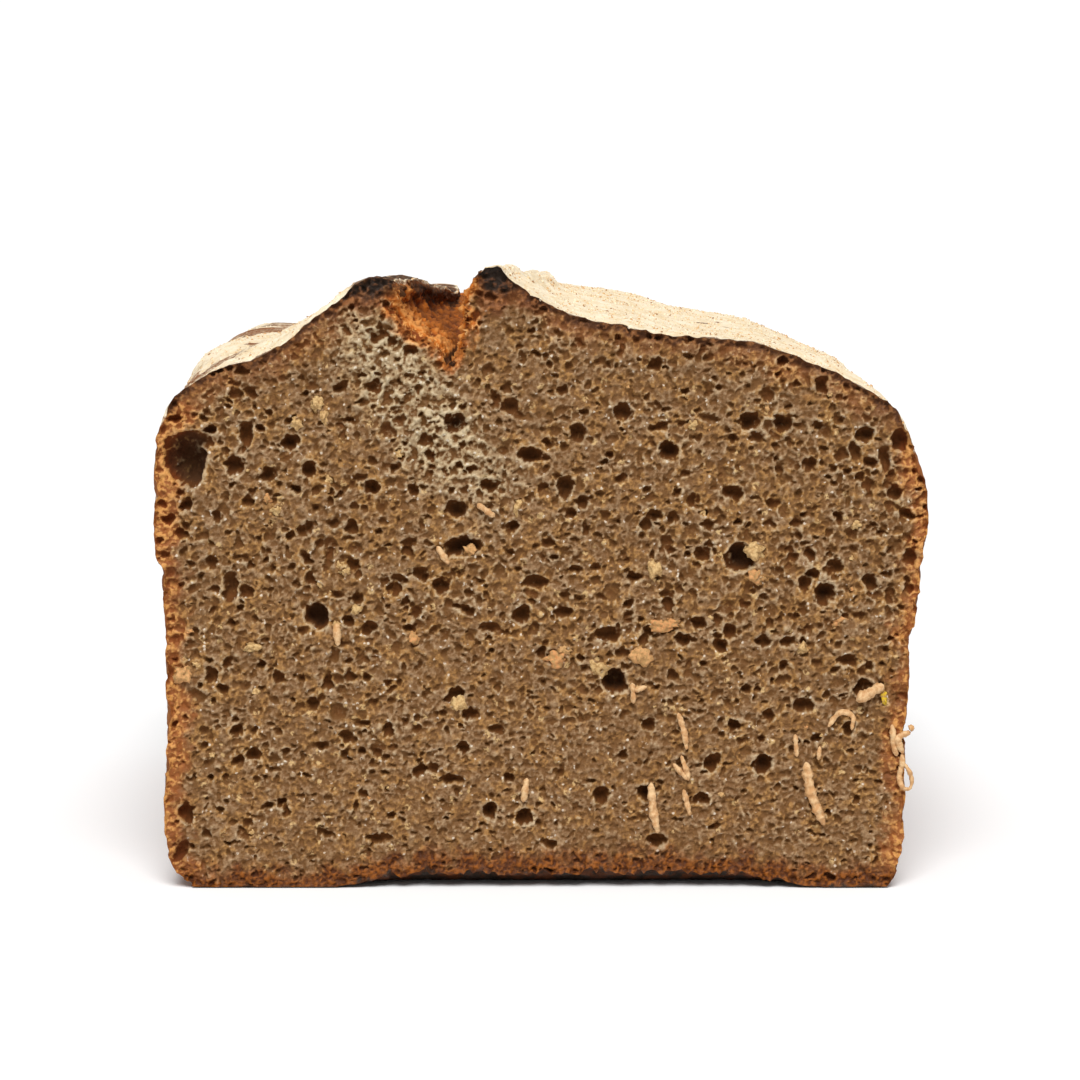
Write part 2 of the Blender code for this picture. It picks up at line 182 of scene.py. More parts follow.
# Smaller pores that stand out on the cut
NOTED_PORES = (
    (-55.2, 69.6, 8.0, 4.0, 8.0), (-56.9, 66.9, 4.6, 6.6, 18.0), (5.3, 50.2, 1.9, 1.5, 0.0),
    (-4.7, 75.4, 3.1, 2.5, 0.0), (-8.1, 63.1, 2.8, 2.2, 0.0), (12.5, 64.3, 2.2, 1.5, 0.0),
    (16.7, 57.1, 2.2, 2.1, 0.0), (18.2, 72.3, 3.7, 1.6, 0.0), (-15.6, 47.6, 2.6, 3.1, 0.0),
    (-7.8, 41.0, 3.8, 1.7, 0.0), (16.3, 39.2, 1.8, 1.6, 0.0), (-17.1, 67.8, 1.9, 2.3, 0.0),
    (50.7, 71.1, 2.8, 2.8, 0.0), (53.5, 67.1, 2.2, 3.8, 10.0), (51.0, 63.1, 1.5, 3.1, 0.0),
    (55.2, 62.0, 2.3, 3.0, 0.0), (25.2, 52.6, 2.3, 2.2, 0.0), (42.1, 52.4, 1.8, 2.3, 0.0),
    (24.7, 41.8, 2.6, 2.3, 0.0), (29.7, 40.5, 2.2, 2.8, 0.0), (34.9, 39.1, 2.6, 2.2, 0.0),
    (43.8, 78.4, 2.2, 2.2, 0.0), (-45.4, 21.0, 2.6, 2.3, 0.0), (-56.0, 11.7, 2.5, 3.7, 0.0),
    (-34.6, 22.4, 2.7, 1.5, 0.0), (-33.6, 32.4, 2.0, 2.8, 0.0), (-11.0, 27.5, 3.0, 2.0, 0.0),
    (-6.7, 25.0, 2.7, 1.6, 0.0), (-18.9, 18.5, 3.1, 2.0, 0.0), (18.2, 7.4, 2.8, 2.0, 0.0),
    (1.3, 6.9, 2.3, 1.6, 0.0), (-45.2, 77.6, 2.8, 1.8, -25.0), (-31.1, 78.4, 2.8, 1.9, 20.0),
    (25.5, 13.9, 3.1, 1.9, 0.0), (-28.2, 64.3, 2.8, 1.3, 0.0), (-24.5, 86.4, 2.6, 1.6, -20.0),
    (-20.3, 84.0, 2.4, 1.6, 0.0), (57.2, 58.7, 2.8, 2.2, 0.0), (57.7, 52.1, 2.2, 2.8, 0.0),
    (55.9, 70.3, 2.6, 3.6, 0.0), (54.6, 45.7, 1.5, 3.0, 0.0), (57.6, 47.1, 1.5, 2.0, 0.0),
    (-57.2, 73.6, 2.2, 2.0, 0.0), (-58.4, 58.1, 2.2, 1.8, 0.0), (-56.3, 55.7, 2.5, 2.0, 0.0),
    (-55.5, 60.2, 2.5, 2.5, 0.0), (-57.0, 5.8, 1.8, 4.0, -25.0), (-47.1, 66.6, 2.2, 1.0, 0.0),
    (-45.4, 62.2, 1.9, 1.3, 0.0), (-33.0, 60.8, 1.3, 1.5, 0.0), (-50.7, 58.3, 1.8, 2.6, 0.0),
    (-51.9, 51.3, 1.8, 2.4, -20.0), (-45.6, 51.0, 1.3, 1.2, 0.0), (-54.9, 51.0, 1.1, 1.1, 0.0),
    (-53.3, 49.0, 1.1, 1.6, 0.0), (-36.1, 48.5, 2.6, 1.8, -35.0), (-28.9, 45.7, 2.2, 2.0, 0.0),
    (-32.1, 46.2, 2.5, 1.2, 0.0), (-20.8, 54.2, 2.5, 1.6, 0.0), (-22.2, 48.5, 3.0, 1.8, -20.0),
    (-30.3, 41.9, 2.0, 1.8, 0.0), (-20.5, 40.9, 2.5, 1.6, 0.0), (-30.9, 73.3, 1.2, 1.5, 0.0),
    (-39.0, 73.4, 2.2, 1.1, 40.0), (-25.9, 78.4, 3.0, 2.0, 15.0), (-22.3, 66.5, 1.6, 1.2, 0.0),
    (34.7, 77.7, 2.0, 1.2, 0.0), (26.3, 73.9, 3.5, 1.2, -8.0), (34.0, 73.5, 1.5, 1.3, 0.0),
    (39.9, 72.5, 2.5, 1.0, 0.0), (33.7, 70.7, 2.2, 1.6, 0.0), (46.6, 73.5, 1.2, 1.3, 0.0),
    (22.4, 77.8, 1.4, 1.3, 0.0), (24.9, 68.2, 0.9, 1.3, 0.0), (42.0, 66.6, 1.5, 1.2, 0.0),
    (37.2, 65.5, 1.9, 1.4, -30.0), (22.8, 65.0, 2.2, 1.3, 0.0), (33.7, 61.3, 1.8, 0.9, -25.0),
    (36.6, 61.1, 1.7, 0.8, -25.0), (20.7, 58.1, 2.6, 1.7, 25.0), (40.0, 57.4, 2.3, 1.7, 0.0),
    (48.7, 55.6, 1.2, 1.7, 0.0), (20.3, 53.1, 2.0, 1.6, 0.0), (37.3, 50.2, 1.8, 1.1, 0.0),
    (43.1, 48.6, 0.9, 2.2, 0.0), (19.7, 46.2, 2.3, 1.5, 0.0), (34.7, 45.8, 1.9, 0.9, 0.0),
    (22.3, 39.1, 2.5, 2.1, 0.0), (41.4, 40.4, 2.0, 1.1, 0.0), (-44.2, 35.2, 1.6, 1.6, 0.0),
    (-41.4, 33.5, 1.3, 1.6, 0.0), (-49.3, 35.4, 1.5, 2.3, -35.0), (-51.9, 33.5, 2.0, 2.8, 0.0),
    (-30.0, 33.4, 2.2, 1.7, 0.0), (-27.4, 33.1, 1.8, 1.4, 0.0), (-23.8, 31.4, 2.0, 1.2, 0.0),
    (-48.2, 24.8, 2.2, 1.8, 0.0), (-41.9, 18.5, 2.6, 0.9, 0.0), (-40.3, 21.6, 1.2, 1.3, 0.0),
    (-30.7, 23.7, 3.0, 2.0, -25.0), (-28.2, 25.9, 2.4, 1.5, 0.0), (-28.2, 21.5, 1.5, 1.5, 0.0),
    (-30.9, 21.1, 1.4, 1.4, 0.0), (-43.5, 12.8, 1.8, 1.3, 0.0), (-40.4, 12.0, 1.5, 1.7, 0.0),
    (-50.6, 12.1, 1.3, 1.2, 0.0), (-28.1, 14.8, 2.0, 1.4, 0.0), (-29.1, 12.8, 1.3, 1.8, 0.0),
    (-23.5, 11.3, 1.7, 1.3, 0.0), (-50.0, 17.4, 1.4, 1.2, 0.0), (-47.4, 9.0, 1.4, 1.2, 0.0),
    (-52.7, 8.5, 1.4, 1.3, 0.0), (-34.0, 8.5, 3.6, 1.2, -20.0), (-48.5, 7.1, 2.0, 0.9, 0.0),
)
# Wide shallow hollows with soft floors: x, z, width, height and tilt as above
SOFT_HOLLOWS = (
    (-52.9, 70.4, 4.6, 3.0, 5.0), (-39.8, 68.0, 2.8, 2.0, 25.0), (-48.6, 47.9, 2.6, 5.0, -8.0),
    (-30.3, 51.6, 3.0, 2.0, -15.0), (-25.0, 59.9, 2.3, 2.2, 0.0), (-22.5, 38.1, 2.6, 2.0, 0.0),
    (-32.3, 36.6, 2.4, 3.0, 0.0), (-37.6, 28.5, 2.6, 2.4, 0.0), (-32.0, 27.6, 3.2, 2.6, -20.0),
    (-25.6, 22.0, 2.8, 2.5, 0.0), (-42.3, 20.4, 2.4, 1.8, 0.0), (-31.6, 31.1, 2.0, 2.0, 0.0),
    (-22.1, 15.3, 2.0, 1.4, 0.0), (21.1, 70.4, 1.9, 1.5, 0.0), (39.3, 66.9, 2.2, 2.0, 0.0),
    (38.5, 64.0, 2.4, 1.8, 0.0), (29.0, 65.5, 2.2, 1.4, 0.0), (49.9, 67.5, 3.0, 1.8, 0.0),
    (40.1, 61.3, 1.5, 1.1, 0.0), (23.6, 56.3, 3.0, 2.0, -10.0), (43.4, 56.6, 3.0, 1.8, 15.0),
    (32.6, 47.4, 3.0, 2.2, -20.0), (29.1, 44.3, 3.2, 2.4, 0.0), (48.4, 43.4, 2.2, 1.4, 0.0),
    (30.1, 48.3, 1.4, 1.8, 0.0), (38.7, 48.3, 1.7, 1.5, 0.0),
)
# Spots without flour on the top: x, distance behind the cut and radius in millimetres
BARE_SPOTS = (
    (27.9, 60.0, 1.3), (30.7, 63.0, 0.9), (32.8, 56.0, 1.3), (41.9, 76.0, 1.1), (-52.0, 66.0, 3.4),
    (-55.0, 50.0, 2.4), (-50.5, 84.0, 3.0), (-47.0, 38.0, 1.6), (-56.5, 22.0, 2.6), (-50.0, 12.0, 1.5),
)
# The middling pores, spread over the crumb as in the solid, in metres
PORE_COUNT = 52
PORE_SEED = 41
PORE_WIDTH = (0.0019, 0.0034)
PORE_FLATNESS = (0.65, 1.0)
PORE_GAP = 0.0008
PORE_REACH = 0.052
PORE_LOWEST = 0.006
PORE_HIGHEST = 0.077
PORE_SLOPE = 0.18
PORE_TRIES = 4000

# The fine pores by size class: count, smallest and largest width in millimetres
FINE_PORES = (
    (420, 1.5, 2.4),
    (6500, 0.8, 1.5),
    (8000, 0.5, 0.8),
    (14000, 0.32, 0.5),
)
FINE_SEED = 77
# How round a pore's bowl is, and how deep the noted and soft ones are as a share of their size
BOWL_POWER = 0.55
NOTED_SHARE = 0.95
SOFT_SHARE = 0.36
# The dry patch on the cut: its middle, lean and spread, in millimetres
DRY_MIDDLE = (-19.865, 76.5)
DRY_LEAN = 0.73
DRY_SPREAD = (7.5, 12.5)
# Browned and burnt spots on the lips: x, z, stretch, reach, raggedness and softness
BROWNED_LIPS = ((-7.8, 93.0, 0.9, 6.0, 1.5, 4.0), (-27.5, 92.5, 2.3, 3.8, 1.5, 3.0))
BURNT_TIPS = ((-7.0, 95.2, 1.35, 3.1, 1.1, 1.8), (-26.5, 94.2, 3.4, 2.5, 1.1, 1.8))
# Bands on the cut along its edges: the edge, width on the left and right, raggedness,
# patchiness and softness
EDGE_BANDS = {
    "side": ("side", 5.0, 4.1, 1.2, 0.9, 3.4),
    "outer": ("side", 2.2, 2.2, 0.8, 0.5, 1.6),
    "bottom": ("base", 4.5, 4.5, 1.3, 0.6, 3.4),
    # The charred line along the base is partly burnt crust and partly painted shade of the gap under the
    # base edge
    "charred": ("base", 0.3, 0.3, 0.5, 0.3, 0.6),
    "rind": ("top", 1.5, 1.5, 0.5, 0.0, 0.8),
    "under": ("top", 5.5, 5.5, 1.5, 0.0, 4.5),
    "split": ("cleft", 1.9, 1.9, 1.1, 0.0, 1.8),
}
# The grains that the crumb's walls are made of: count, smallest and largest width
GRAINS = (
    (4500, 0.8, 1.5),
    (16000, 0.42, 0.8),
)
GRAIN_SEED = 88
# The crumb that fills the lower right part of the largest hole: its top, slope and limits
FILLED_TOP = (-51.6, 69.4)
FILLED_SLANT = 0.36
FILLED_RIGHT = -49.5
FILLED_LOW = 60.5
FILLED_DEPTH = 0.5
# The slot at the cleft's bottom, in millimetres
SLOT_REACH = 22.0
SLOT_DEPTH = 1.3
SLOT_TOP = 87.6
# The worn upper left edge of the cut: where it starts and ends, its reach and how far it dips
EDGE_START = -50.0
EDGE_END = -27.0
EDGE_REACH = 2.6
EDGE_DIP = 0.9
# How near the heel the cleft's tears, colour and scorch fade out, in millimetres
TEAR_FADE = 26.0
TORN_FADE = 22.0
SCORCH_FADE = 14.0
# How far behind the cut the cleft's clods and fresh colour, and the top's lumps of flour, reach
CLOD_REACH = 26.0
FRESH_REACH = 22.0
DUSTING_REACH = 60.0
# The flour: the height where a thin dust starts and how far up it thickens, in millimetres
DUST_FROM = 56.0
DUST_RISE = 24.0
# Where flour is rubbed off: the left shoulder, the far left and beside the left lip
RUBBED_X = -42.0
RUBBED_Y = 8.0
FAR_X = -30.0
FAR_Y = 50.0
LIP_CLEAR = 14.0
# How wide the lips are scorched, how much wider near the cut and up to where
SCORCH_WIDTH = 4.6
SCORCH_MORE = 5.0
SCORCH_NEAR = 34.0
# Grains of bran and flour on the top: their size in millimetres, shape and corners
BRAN_COUNT = 9000
BRAN_SEED = 12
BRAN_SIZE = (0.12, 0.42)
BRAN_SHAPE = (1.0, 0.8, 0.5)
BRAN_LOWEST = 62.0
BRAN_FACES = (
    (0, 1, 2), (1, 3, 2), (3, 4, 2), (4, 0, 2), (1, 0, 5), (3, 1, 5), (4, 3, 5), (0, 4, 5),
)

# Crumb rolls on the cut: the width of each and the points it runs through, in millimetres
ROLLS = (
    (1.4, (17.4, 16.7), (17.7, 12.6), (18.5, 8.6)),
    (1.7, (41.8, 20.0), (42.7, 15.0), (44.8, 9.9)),
    (1.1, (-2.2, 17.4), (-2.8, 13.5)),
    (1.0, (21.6, 27.7), (22.5, 24.9), (23.0, 21.8)),
    (0.9, (20.8, 19.7), (23.2, 17.4), (22.1, 21.0)),
    (0.9, (22.5, 15.6), (23.6, 11.4)),
    (0.8, (40.1, 24.3), (40.4, 20.7)),
    (0.8, (44.0, 22.4), (43.8, 20.2)),
    (0.9, (45.2, 25.4), (47.1, 27.7), (49.1, 27.1), (49.0, 24.9)),
    (1.8, (49.6, 29.6), (54.0, 32.1)),
    (0.9, (14.4, 32.4), (14.6, 29.1)),
    (0.9, (14.5, 31.2), (16.7, 31.8)),
    (1.0, (-10.0, 60.4), (-7.2, 58.4)),
    (1.0, (-16.3, 53.8), (-14.4, 51.0)),
    (1.2, (-32.1, 41.8), (-31.9, 38.2)),
    (1.0, (55.3, 25.9), (55.5, 24.2), (55.6, 22.6), (56.2, 20.8)),
    (1.2, (58.3, 24.7), (56.4, 23.8), (56.6, 22.4), (57.2, 21.2)),
    (0.9, (57.0, 21.3), (57.0, 19.5), (56.6, 17.5), (57.2, 15.8), (58.5, 15.6)),
    (0.7, (57.2, 19.9), (58.2, 18.3), (58.6, 16.8), (58.3, 15.4)),
    (1.1, (58.0, 25.1), (58.8, 25.6)),
)
ROLL_SIDES = 8
ROLL_STEP = 0.25
ROLL_SEED = 5

# Pale lumps on the cut: x, z, width and height in millimetres; then the yellow speck
LUMPS = (
    (2.5, 36.0, 3.1, 2.6), (8.9, 34.6, 3.0, 2.8), (15.6, 36.6, 2.7, 2.5), (3.6, 37.7, 2.0, 1.8),
    (-13.0, 29.1, 2.1, 2.9), (-3.6, 59.9, 1.8, 2.4), (-11.1, 52.9, 1.8, 1.7), (17.7, 50.2, 2.0, 2.6),
    (-34.9, 75.9, 1.9, 2.2), (-33.8, 73.9, 1.1, 2.4), (-38.0, 72.9, 1.7, 1.7), (-42.8, 61.2, 1.3, 1.4),
    (-41.3, 59.3, 1.6, 1.6), (-33.3, 63.9, 1.3, 1.6), (-45.4, 37.9, 2.3, 1.8), (-31.8, 40.9, 1.3, 2.9),
    (-20.0, 39.4, 1.8, 1.8), (-31.6, 50.6, 1.5, 1.9), (-29.0, 43.8, 1.4, 1.5), (-56.3, 33.8, 2.4, 2.6),
    (-22.1, 68.1, 1.2, 1.1), (33.6, 53.0, 2.8, 2.6), (33.9, 49.0, 2.4, 2.2), (19.7, 41.4, 4.4, 1.8),
    (35.2, 75.3, 1.1, 1.7), (23.7, 72.6, 1.6, 1.5), (25.3, 58.8, 1.2, 1.6), (49.3, 57.2, 1.6, 1.3),
    (41.0, 37.8, 2.0, 1.8), (46.9, 42.0, 2.2, 1.8),
)
YELLOW_SPECK = (54.1, 29.9, 0.9, 2.2)
YELLOW_TONE = 2.0
LUMP_SEED = 19
SMALL_LUMPS = 60
LUMP_FINENESS = 3

# The studio's lights
WORLD_LIGHT = 0.35
BACKDROP_LIGHT = 1.05
LAMP_POWER = 3.4
LAMP_SOFTNESS = math.radians(35)
LAMP_WAY = (0.0, 0.6, -0.8)
# The floor and the camera, in metres
FLOOR_REACH = 6.0
FLOOR_GAP = 0.0002
CAMERA_HEIGHT = 0.123
CAMERA_DISTANCE = 0.520
AIM_HEIGHT = 0.0555
VIEW_WIDTH = 0.169
# The width of the camera's sensor, in millimetres
SENSOR = 36.0

# Colours as screen values, 0 to 255
WALL = (154, 123, 89)
# Painted highlight on the crumb's highest ridges
RIDGE_HIGHLIGHT = (208, 188, 154)
WALL_WARM = (162, 118, 64)
CRUMB = (109, 73, 35)
# Painted shade in the pores, darker with depth; the first of these is also the tone of dark grit
GRIT_AND_HOLLOW_SHADE = (102, 65, 26)
PORE_SHADE = (94, 52, 13)
DEEP_SHADE = (34, 20, 9)
DRY = (172, 150, 116)
# The dry patch's ridges: chalky crumb and painted highlight
CHALK_AND_HIGHLIGHT = (208, 190, 156)
RIND_LIGHT = (128, 76, 34)
RIND_DARK = (74, 40, 16)
# Painted glints: tiny highlight specks on raised crumb
PAINTED_GLINT = (232, 222, 204)
KERNEL = (206, 172, 118)
SIDE_LIGHT = (184, 124, 66)
SIDE_MID = (142, 84, 38)
SIDE_DARK = (98, 54, 22)
# Painted highlight on the raised crumb beside the crust
CRUST_RIDGE_HIGHLIGHT = (202, 144, 80)
CRUST_MID = (140, 80, 34)
CRUST_DARK = (96, 50, 17)
# Painted shade in the hollows of the crumb beside the crust
CRUST_PIT_SHADE = (112, 52, 8)
OUTER = (200, 142, 76)
AMBER = (140, 76, 26)
BURNT = (36, 22, 10)
SCORCHED = (84, 48, 22)
BASE_LIGHT = (140, 78, 16)
BASE_DARK = (74, 34, 2)
FLOUR = (245, 231, 204)
FLOUR_SHADE = (231, 207, 166)
SPECK = (204, 150, 92)
TORN_LIGHT = (228, 164, 92)
TORN_MID = (196, 108, 30)
TORN_DARK = (120, 55, 6)
ROLL_LIGHT = (216, 180, 134)
ROLL_DARK = (186, 138, 90)
LUMP_TAN = (202, 142, 88)
LUMP_SHADE = (166, 128, 78)
YELLOW = (220, 184, 34)
FLOOR_SHADE = (243.45, 243.45, 243.45)
FLOOR_LIGHT = (245.81, 245.81, 245.81)


def ease(value):
    """Rises smoothly from 0 to 1 as the value does."""
    value = np.clip(value, 0.0, 1.0)
    return value * value * (3.0 - 2.0 * value)


def value_noise(x, z, cell, seed):
    """Smooth noise from -1 to 1 whose bumps have the given size."""
    table = np.random.default_rng(seed).uniform(-1.0, 1.0, (256, 256))
    u = np.asarray(x) / cell
    v = np.asarray(z) / cell
    column = np.floor(u).astype(int)
    row = np.floor(v).astype(int)
    across = u - column
    upward = v - row
    across = across * across * (3.0 - 2.0 * across)
    upward = upward * upward * (3.0 - 2.0 * upward)
    left, right = column & 255, (column + 1) & 255
    lower, upper = row & 255, (row + 1) & 255
    bottom = table[lower, left] * (1.0 - across) + table[lower, right] * across
    top = table[upper, left] * (1.0 - across) + table[upper, right] * across
    return bottom * (1.0 - upward) + top * upward


def layered_noise(x, z, cell, layers, seed):
    """Noise with finer and fainter layers added."""
    total = 0.0
    for layer in range(layers):
        total = total + value_noise(x, z, cell / 2**layer, seed + layer) / 2**layer
    return total


def pattern(name, x, z):
    """The named noise at any places, in millimetres."""
    return layered_noise(x, z, *NOISES[name])


def curve_through(knots):
    """Points along a smooth curve that passes through the knots."""
    line = np.vstack((2 * knots[0] - knots[1], knots, 2 * knots[-1] - knots[-2]))
    u = np.linspace(0.0, 1.0, CURVE_STEPS, endpoint=False)[:, None]
    stretches = []
    for a, b, c, d in zip(line, line[1:], line[2:], line[3:]):
        bend = (a * 2 - b * 5 + c * 4 - d) * u**2
        turn = (b * 3 - a - c * 3 + d) * u**3
        stretches.append((b * 2 + (c - a) * u + bend + turn) * 0.5)
    return np.vstack((*stretches, knots[-1:]))


def spread_evenly(line, count):
    """As many points as asked at even steps along a line, without its last one."""
    reach = np.concatenate(([0.0], np.cumsum(np.linalg.norm(np.diff(line, axis=0), axis=1))))
    targets = np.linspace(0.0, reach[-1], count, endpoint=False)
    return np.stack([np.interp(targets, reach, line[:, axis]) for axis in range(line.shape[1])], axis=1)


def lip_shift(along):
    """How far the cleft has wandered to the right, in millimetres."""
    return LIP_SHIFT_MID * ease(along / 0.5) + LIP_SHIFT_BACK * ease((along - 0.5) / 0.5)


def left_drop(along):
    """How far the left lip has fallen below its height at the cut."""
    return LEFT_LIP_DROP_MID * ease((along - 0.1) / 0.4) + LEFT_LIP_DROP_BACK * ease((along - 0.5) / 0.5)


def right_drop(along):
    """How far the right lip has fallen below its height at the cut."""
    return RIGHT_LIP_DROP_NEAR * ease(along / 0.55) + RIGHT_LIP_DROP_BACK * ease((along - 0.55) / 0.45)


def lobe_points(knots, along, drop):
    """One side and lobe of the section, in millimetres."""
    x, z, follows = np.array(knots).T
    lift = SHOULDER_LIFT * ease(along / 0.4)
    distance = np.hypot(x - SHOULDER[0], z - SHOULDER[1])
    near_shoulder = lift * np.exp(-0.5 * (distance / SHOULDER_SPREAD) ** 2)
    fall = LOBE_FALL * along * ease((z - LOBE_FALL_FROM) / (DRAWN_HEIGHT - LOBE_FALL_FROM))
    from_fill = (x - RIGHT_FILL_CENTRE) / RIGHT_FILL_SPREAD
    fill = RIGHT_FILL * ease(along / 0.45) * np.exp(-0.5 * from_fill ** 2)
    height = z - follows * drop - (1.0 - follows) * fall + near_shoulder + fill
    return np.stack((x + follows * lip_shift(along), height), axis=1)


def wall_points(knots, along, drop):
    """One wall of the cleft, whose height shrinks as its lip falls."""
    x, z = np.array(knots).T
    share = (z - CLEFT_FLOOR[1]) / (RIGHT_KNOTS[0][1] - CLEFT_FLOOR[1])
    rise = FLOOR_RISE * ease((along - 0.6) / 0.4) * (1.0 - share)
    return np.stack((x + lip_shift(along), z - share * drop + rise), axis=1)


def base_points(start, end, along):
    """The base from right to left, with the low arch under the cut edge."""
    x = np.linspace(start[0], end[0], BASE_COUNT, endpoint=False)
    ramps = ease((x - ARCH_LEFT) / ARCH_RAMP) * ease((ARCH_RIGHT - x) / ARCH_RAMP)
    return np.stack((x, ARCH_HEIGHT * ramps * (1.0 - ease(along / ARCH_REACH))), axis=1)


def section(along):
    """The loaf's outline at a share of its length from the cut, in millimetres."""
    left = lobe_points(LEFT_KNOTS, along, left_drop(along))
    right = lobe_points(RIGHT_KNOTS, along, right_drop(along))
    cleft = np.vstack(
        (
            left[-1:],
            wall_points(LEFT_WALL_KNOTS, along, left_drop(along)),
            wall_points([CLEFT_FLOOR], along, 0.0),
            wall_points(RIGHT_WALL_KNOTS, along, right_drop(along)),
            right[:1],
        )
    )
    return np.vstack(
        (
            spread_evenly(curve_through(left), LEFT_COUNT),
            spread_evenly(curve_through(cleft), CLEFT_COUNT),
            spread_evenly(curve_through(right), RIGHT_COUNT),
            base_points(right[-1], left[0], along),
        )
    )


def swell(points):
    """How far the crust stands out at each point, which is nothing at the base."""
    amount = np.array([noise.noise(Vector(point) / SWELL_SIZE + SWELL_SEED) for point in points])
    height = points[:, 2] / LOAF_HEIGHT
    size = SWELL_SIDE + (SWELL_TOP - SWELL_SIDE) * ease((height - 0.7) / 0.1)
    return amount * size * ease(height / 0.15)


def ring_points(depth, inset):
    """The outline in place: depth in metres from the cut, and how far the heel has closed."""
    drawn = section(depth / LOAF_LENGTH) * (MM, UPWARD * MM)
    points = np.stack((drawn[:, 0], np.full(len(drawn), CUT + depth), drawn[:, 1]), axis=1)
    outward = points * (1.0, 0.0, 1.0) - (0.0, 0.0, SWELL_CENTRE)
    outward /= np.linalg.norm(outward, axis=1, keepdims=True)
    points += outward * swell(points)[:, None]
    height = points[:, 2] / LOAF_HEIGHT
    points[:, 0] *= 1.0 - inset * HEEL_SIDE / (LOAF_WIDTH / 2)
    points[:, 2] += inset * (HEEL_BASE * (1.0 - height) - HEEL_TOP * height)
    return points


def all_rings():
    """Every ring of the crust, and the distance each has come along the loaf."""
    straight = LOAF_LENGTH - HEEL_DEPTH
    rings = []
    travel = []
    for index in range(BODY_RINGS):
        share = index / BODY_RINGS
        depth = straight * share * (RING_SPREAD + (1.0 - RING_SPREAD) * share)
        rings.append(ring_points(depth, 0.0))
        travel.append(depth)
    for index in range(HEEL_RINGS):
        angle = math.radians(90) * index / (HEEL_RINGS - 1)
        depth = straight + (HEEL_DEPTH - HEEL_CROWN) * math.sin(angle)
        rings.append(ring_points(depth, 1.0 - math.cos(angle)))
        travel.append(straight + HEEL_DEPTH * angle)
    rings = np.array(rings)
    middle = (rings[..., 0].min() + rings[..., 0].max()) / 2
    rings[..., 0] += (LOW.x + HIGH.x) / 2 - middle
    return rings, np.array(travel), (LOW.x + HIGH.x) / 2 - middle


def ring_normals(rings):
    """Outward directions over the crust; the cut edge keeps to its own plane."""
    around = np.roll(rings, -1, axis=1) - np.roll(rings, 1, axis=1)
    along = np.gradient(rings, axis=0)
    normals = np.cross(around, along)
    normals[0, :, 1] = 0.0
    return normals / np.linalg.norm(normals, axis=2, keepdims=True)


def into_cleft(count):
    """How far each point round a ring lies inside the cleft's lips, in millimetres; below 0 outside."""
    index = np.arange(count)
    return np.minimum(index - LEFT_COUNT, LEFT_COUNT + CLEFT_COUNT - index) * CLEFT_STEP


def part_masks(shape):
    """The shares of cleft and base over all the rings, and each point's distance beside the lips."""
    index = np.arange(shape[1])
    inside = into_cleft(shape[1])
    base = (index >= LEFT_COUNT + CLEFT_COUNT + RIGHT_COUNT) | (index == 0)
    masks = (ease(inside / LIP_BLEND), np.clip(-inside, 0.0, None), base.astype(float))
    return [np.broadcast_to(mask, shape) for mask in masks]


def crust_places(rings, normals, travel):
    """What the crust's relief and colours depend on, at every point of every ring."""
    shape = rings.shape[:2]
    around = np.concatenate(([0.0], np.cumsum(np.linalg.norm(np.diff(rings[0], axis=0), axis=1))))
    at = SimpleNamespace()
    at.s = np.broadcast_to(around / MM, shape)
    at.y = np.broadcast_to(travel[:, None] / MM, shape)
    at.x = rings[..., 0] / MM
    at.z = rings[..., 2] / MM
    at.up = normals[..., 2]
    at.to_end = at.y[-1] - at.y
    at.left = np.arange(shape[1]) < LEFT_COUNT
    at.cleft, at.beside, at.base = part_masks(shape)
    at.patchy = pattern("patches", at.s, at.y)
    at.fray = pattern("fray", at.s, at.y)
    from_crack = np.abs(at.x - at.x[:, [LEFT_COUNT + CLEFT_COUNT // 2]])
    at.slot = at.cleft * ease((1.0 + 0.6 * at.fray - from_crack) / 0.7) * ease((SLOT_REACH - at.y) / 6.0)
    return at


def skin_relief(at):
    """Lumps, grain, lumps of flour and pits of the baked skin, in millimetres."""
    steep = ease((0.75 - at.up) / 0.4)
    lumps = 0.24 * pattern("lumps", at.s, at.y)
    grain = (0.05 + 0.09 * steep) * pattern("grain", at.s, at.y)
    dusting = 0.16 * pattern("dusting", at.s, at.y) * (1.0 - steep) * ease((DUSTING_REACH - at.y) / 50.0)
    pits = 0.5 * ease((pattern("pits", at.s, at.y) - 0.35) / 0.3)
    pits = pits + 0.3 * ease((pattern("small pits", at.s, at.y) - 0.3) / 0.3)
    return lumps + grain + dusting - pits * steep


def torn_relief(at):
    """Torn fibres and clods of the cleft's walls, which fade before the heel, in millimetres."""
    torn = pattern("tears", at.s, at.y * 0.6)
    fibres = np.abs(pattern("fibres", at.s, at.y * 0.8)) - 0.3
    threads = np.abs(pattern("threads", at.s + 0.4 * at.y, at.y - 0.4 * at.s)) - 0.3
    clods = pattern("clods", at.s, at.y) * (0.35 + 0.65 * ease((CLOD_REACH - at.y) / 18.0))
    ragged = 0.25 * torn + 0.5 * fibres + 0.35 * threads + 0.85 * clods
    return ragged * ease(at.to_end / TEAR_FADE - 0.2)


def crust_relief(at):
    """How far each point of the crust stands out, in millimetres."""
    skin = skin_relief(at) * (1.0 - at.cleft) + torn_relief(at) * at.cleft
    torn_edge = ease(1.3 - at.y / 2.5) * ease((at.z - 0.2) / 1.2) * at.base
    frayed = 0.9 * np.abs(pattern("rags", at.s, at.y * 0.5)) - 0.45
    return skin * (1.0 - 0.85 * at.base) - torn_edge * frayed


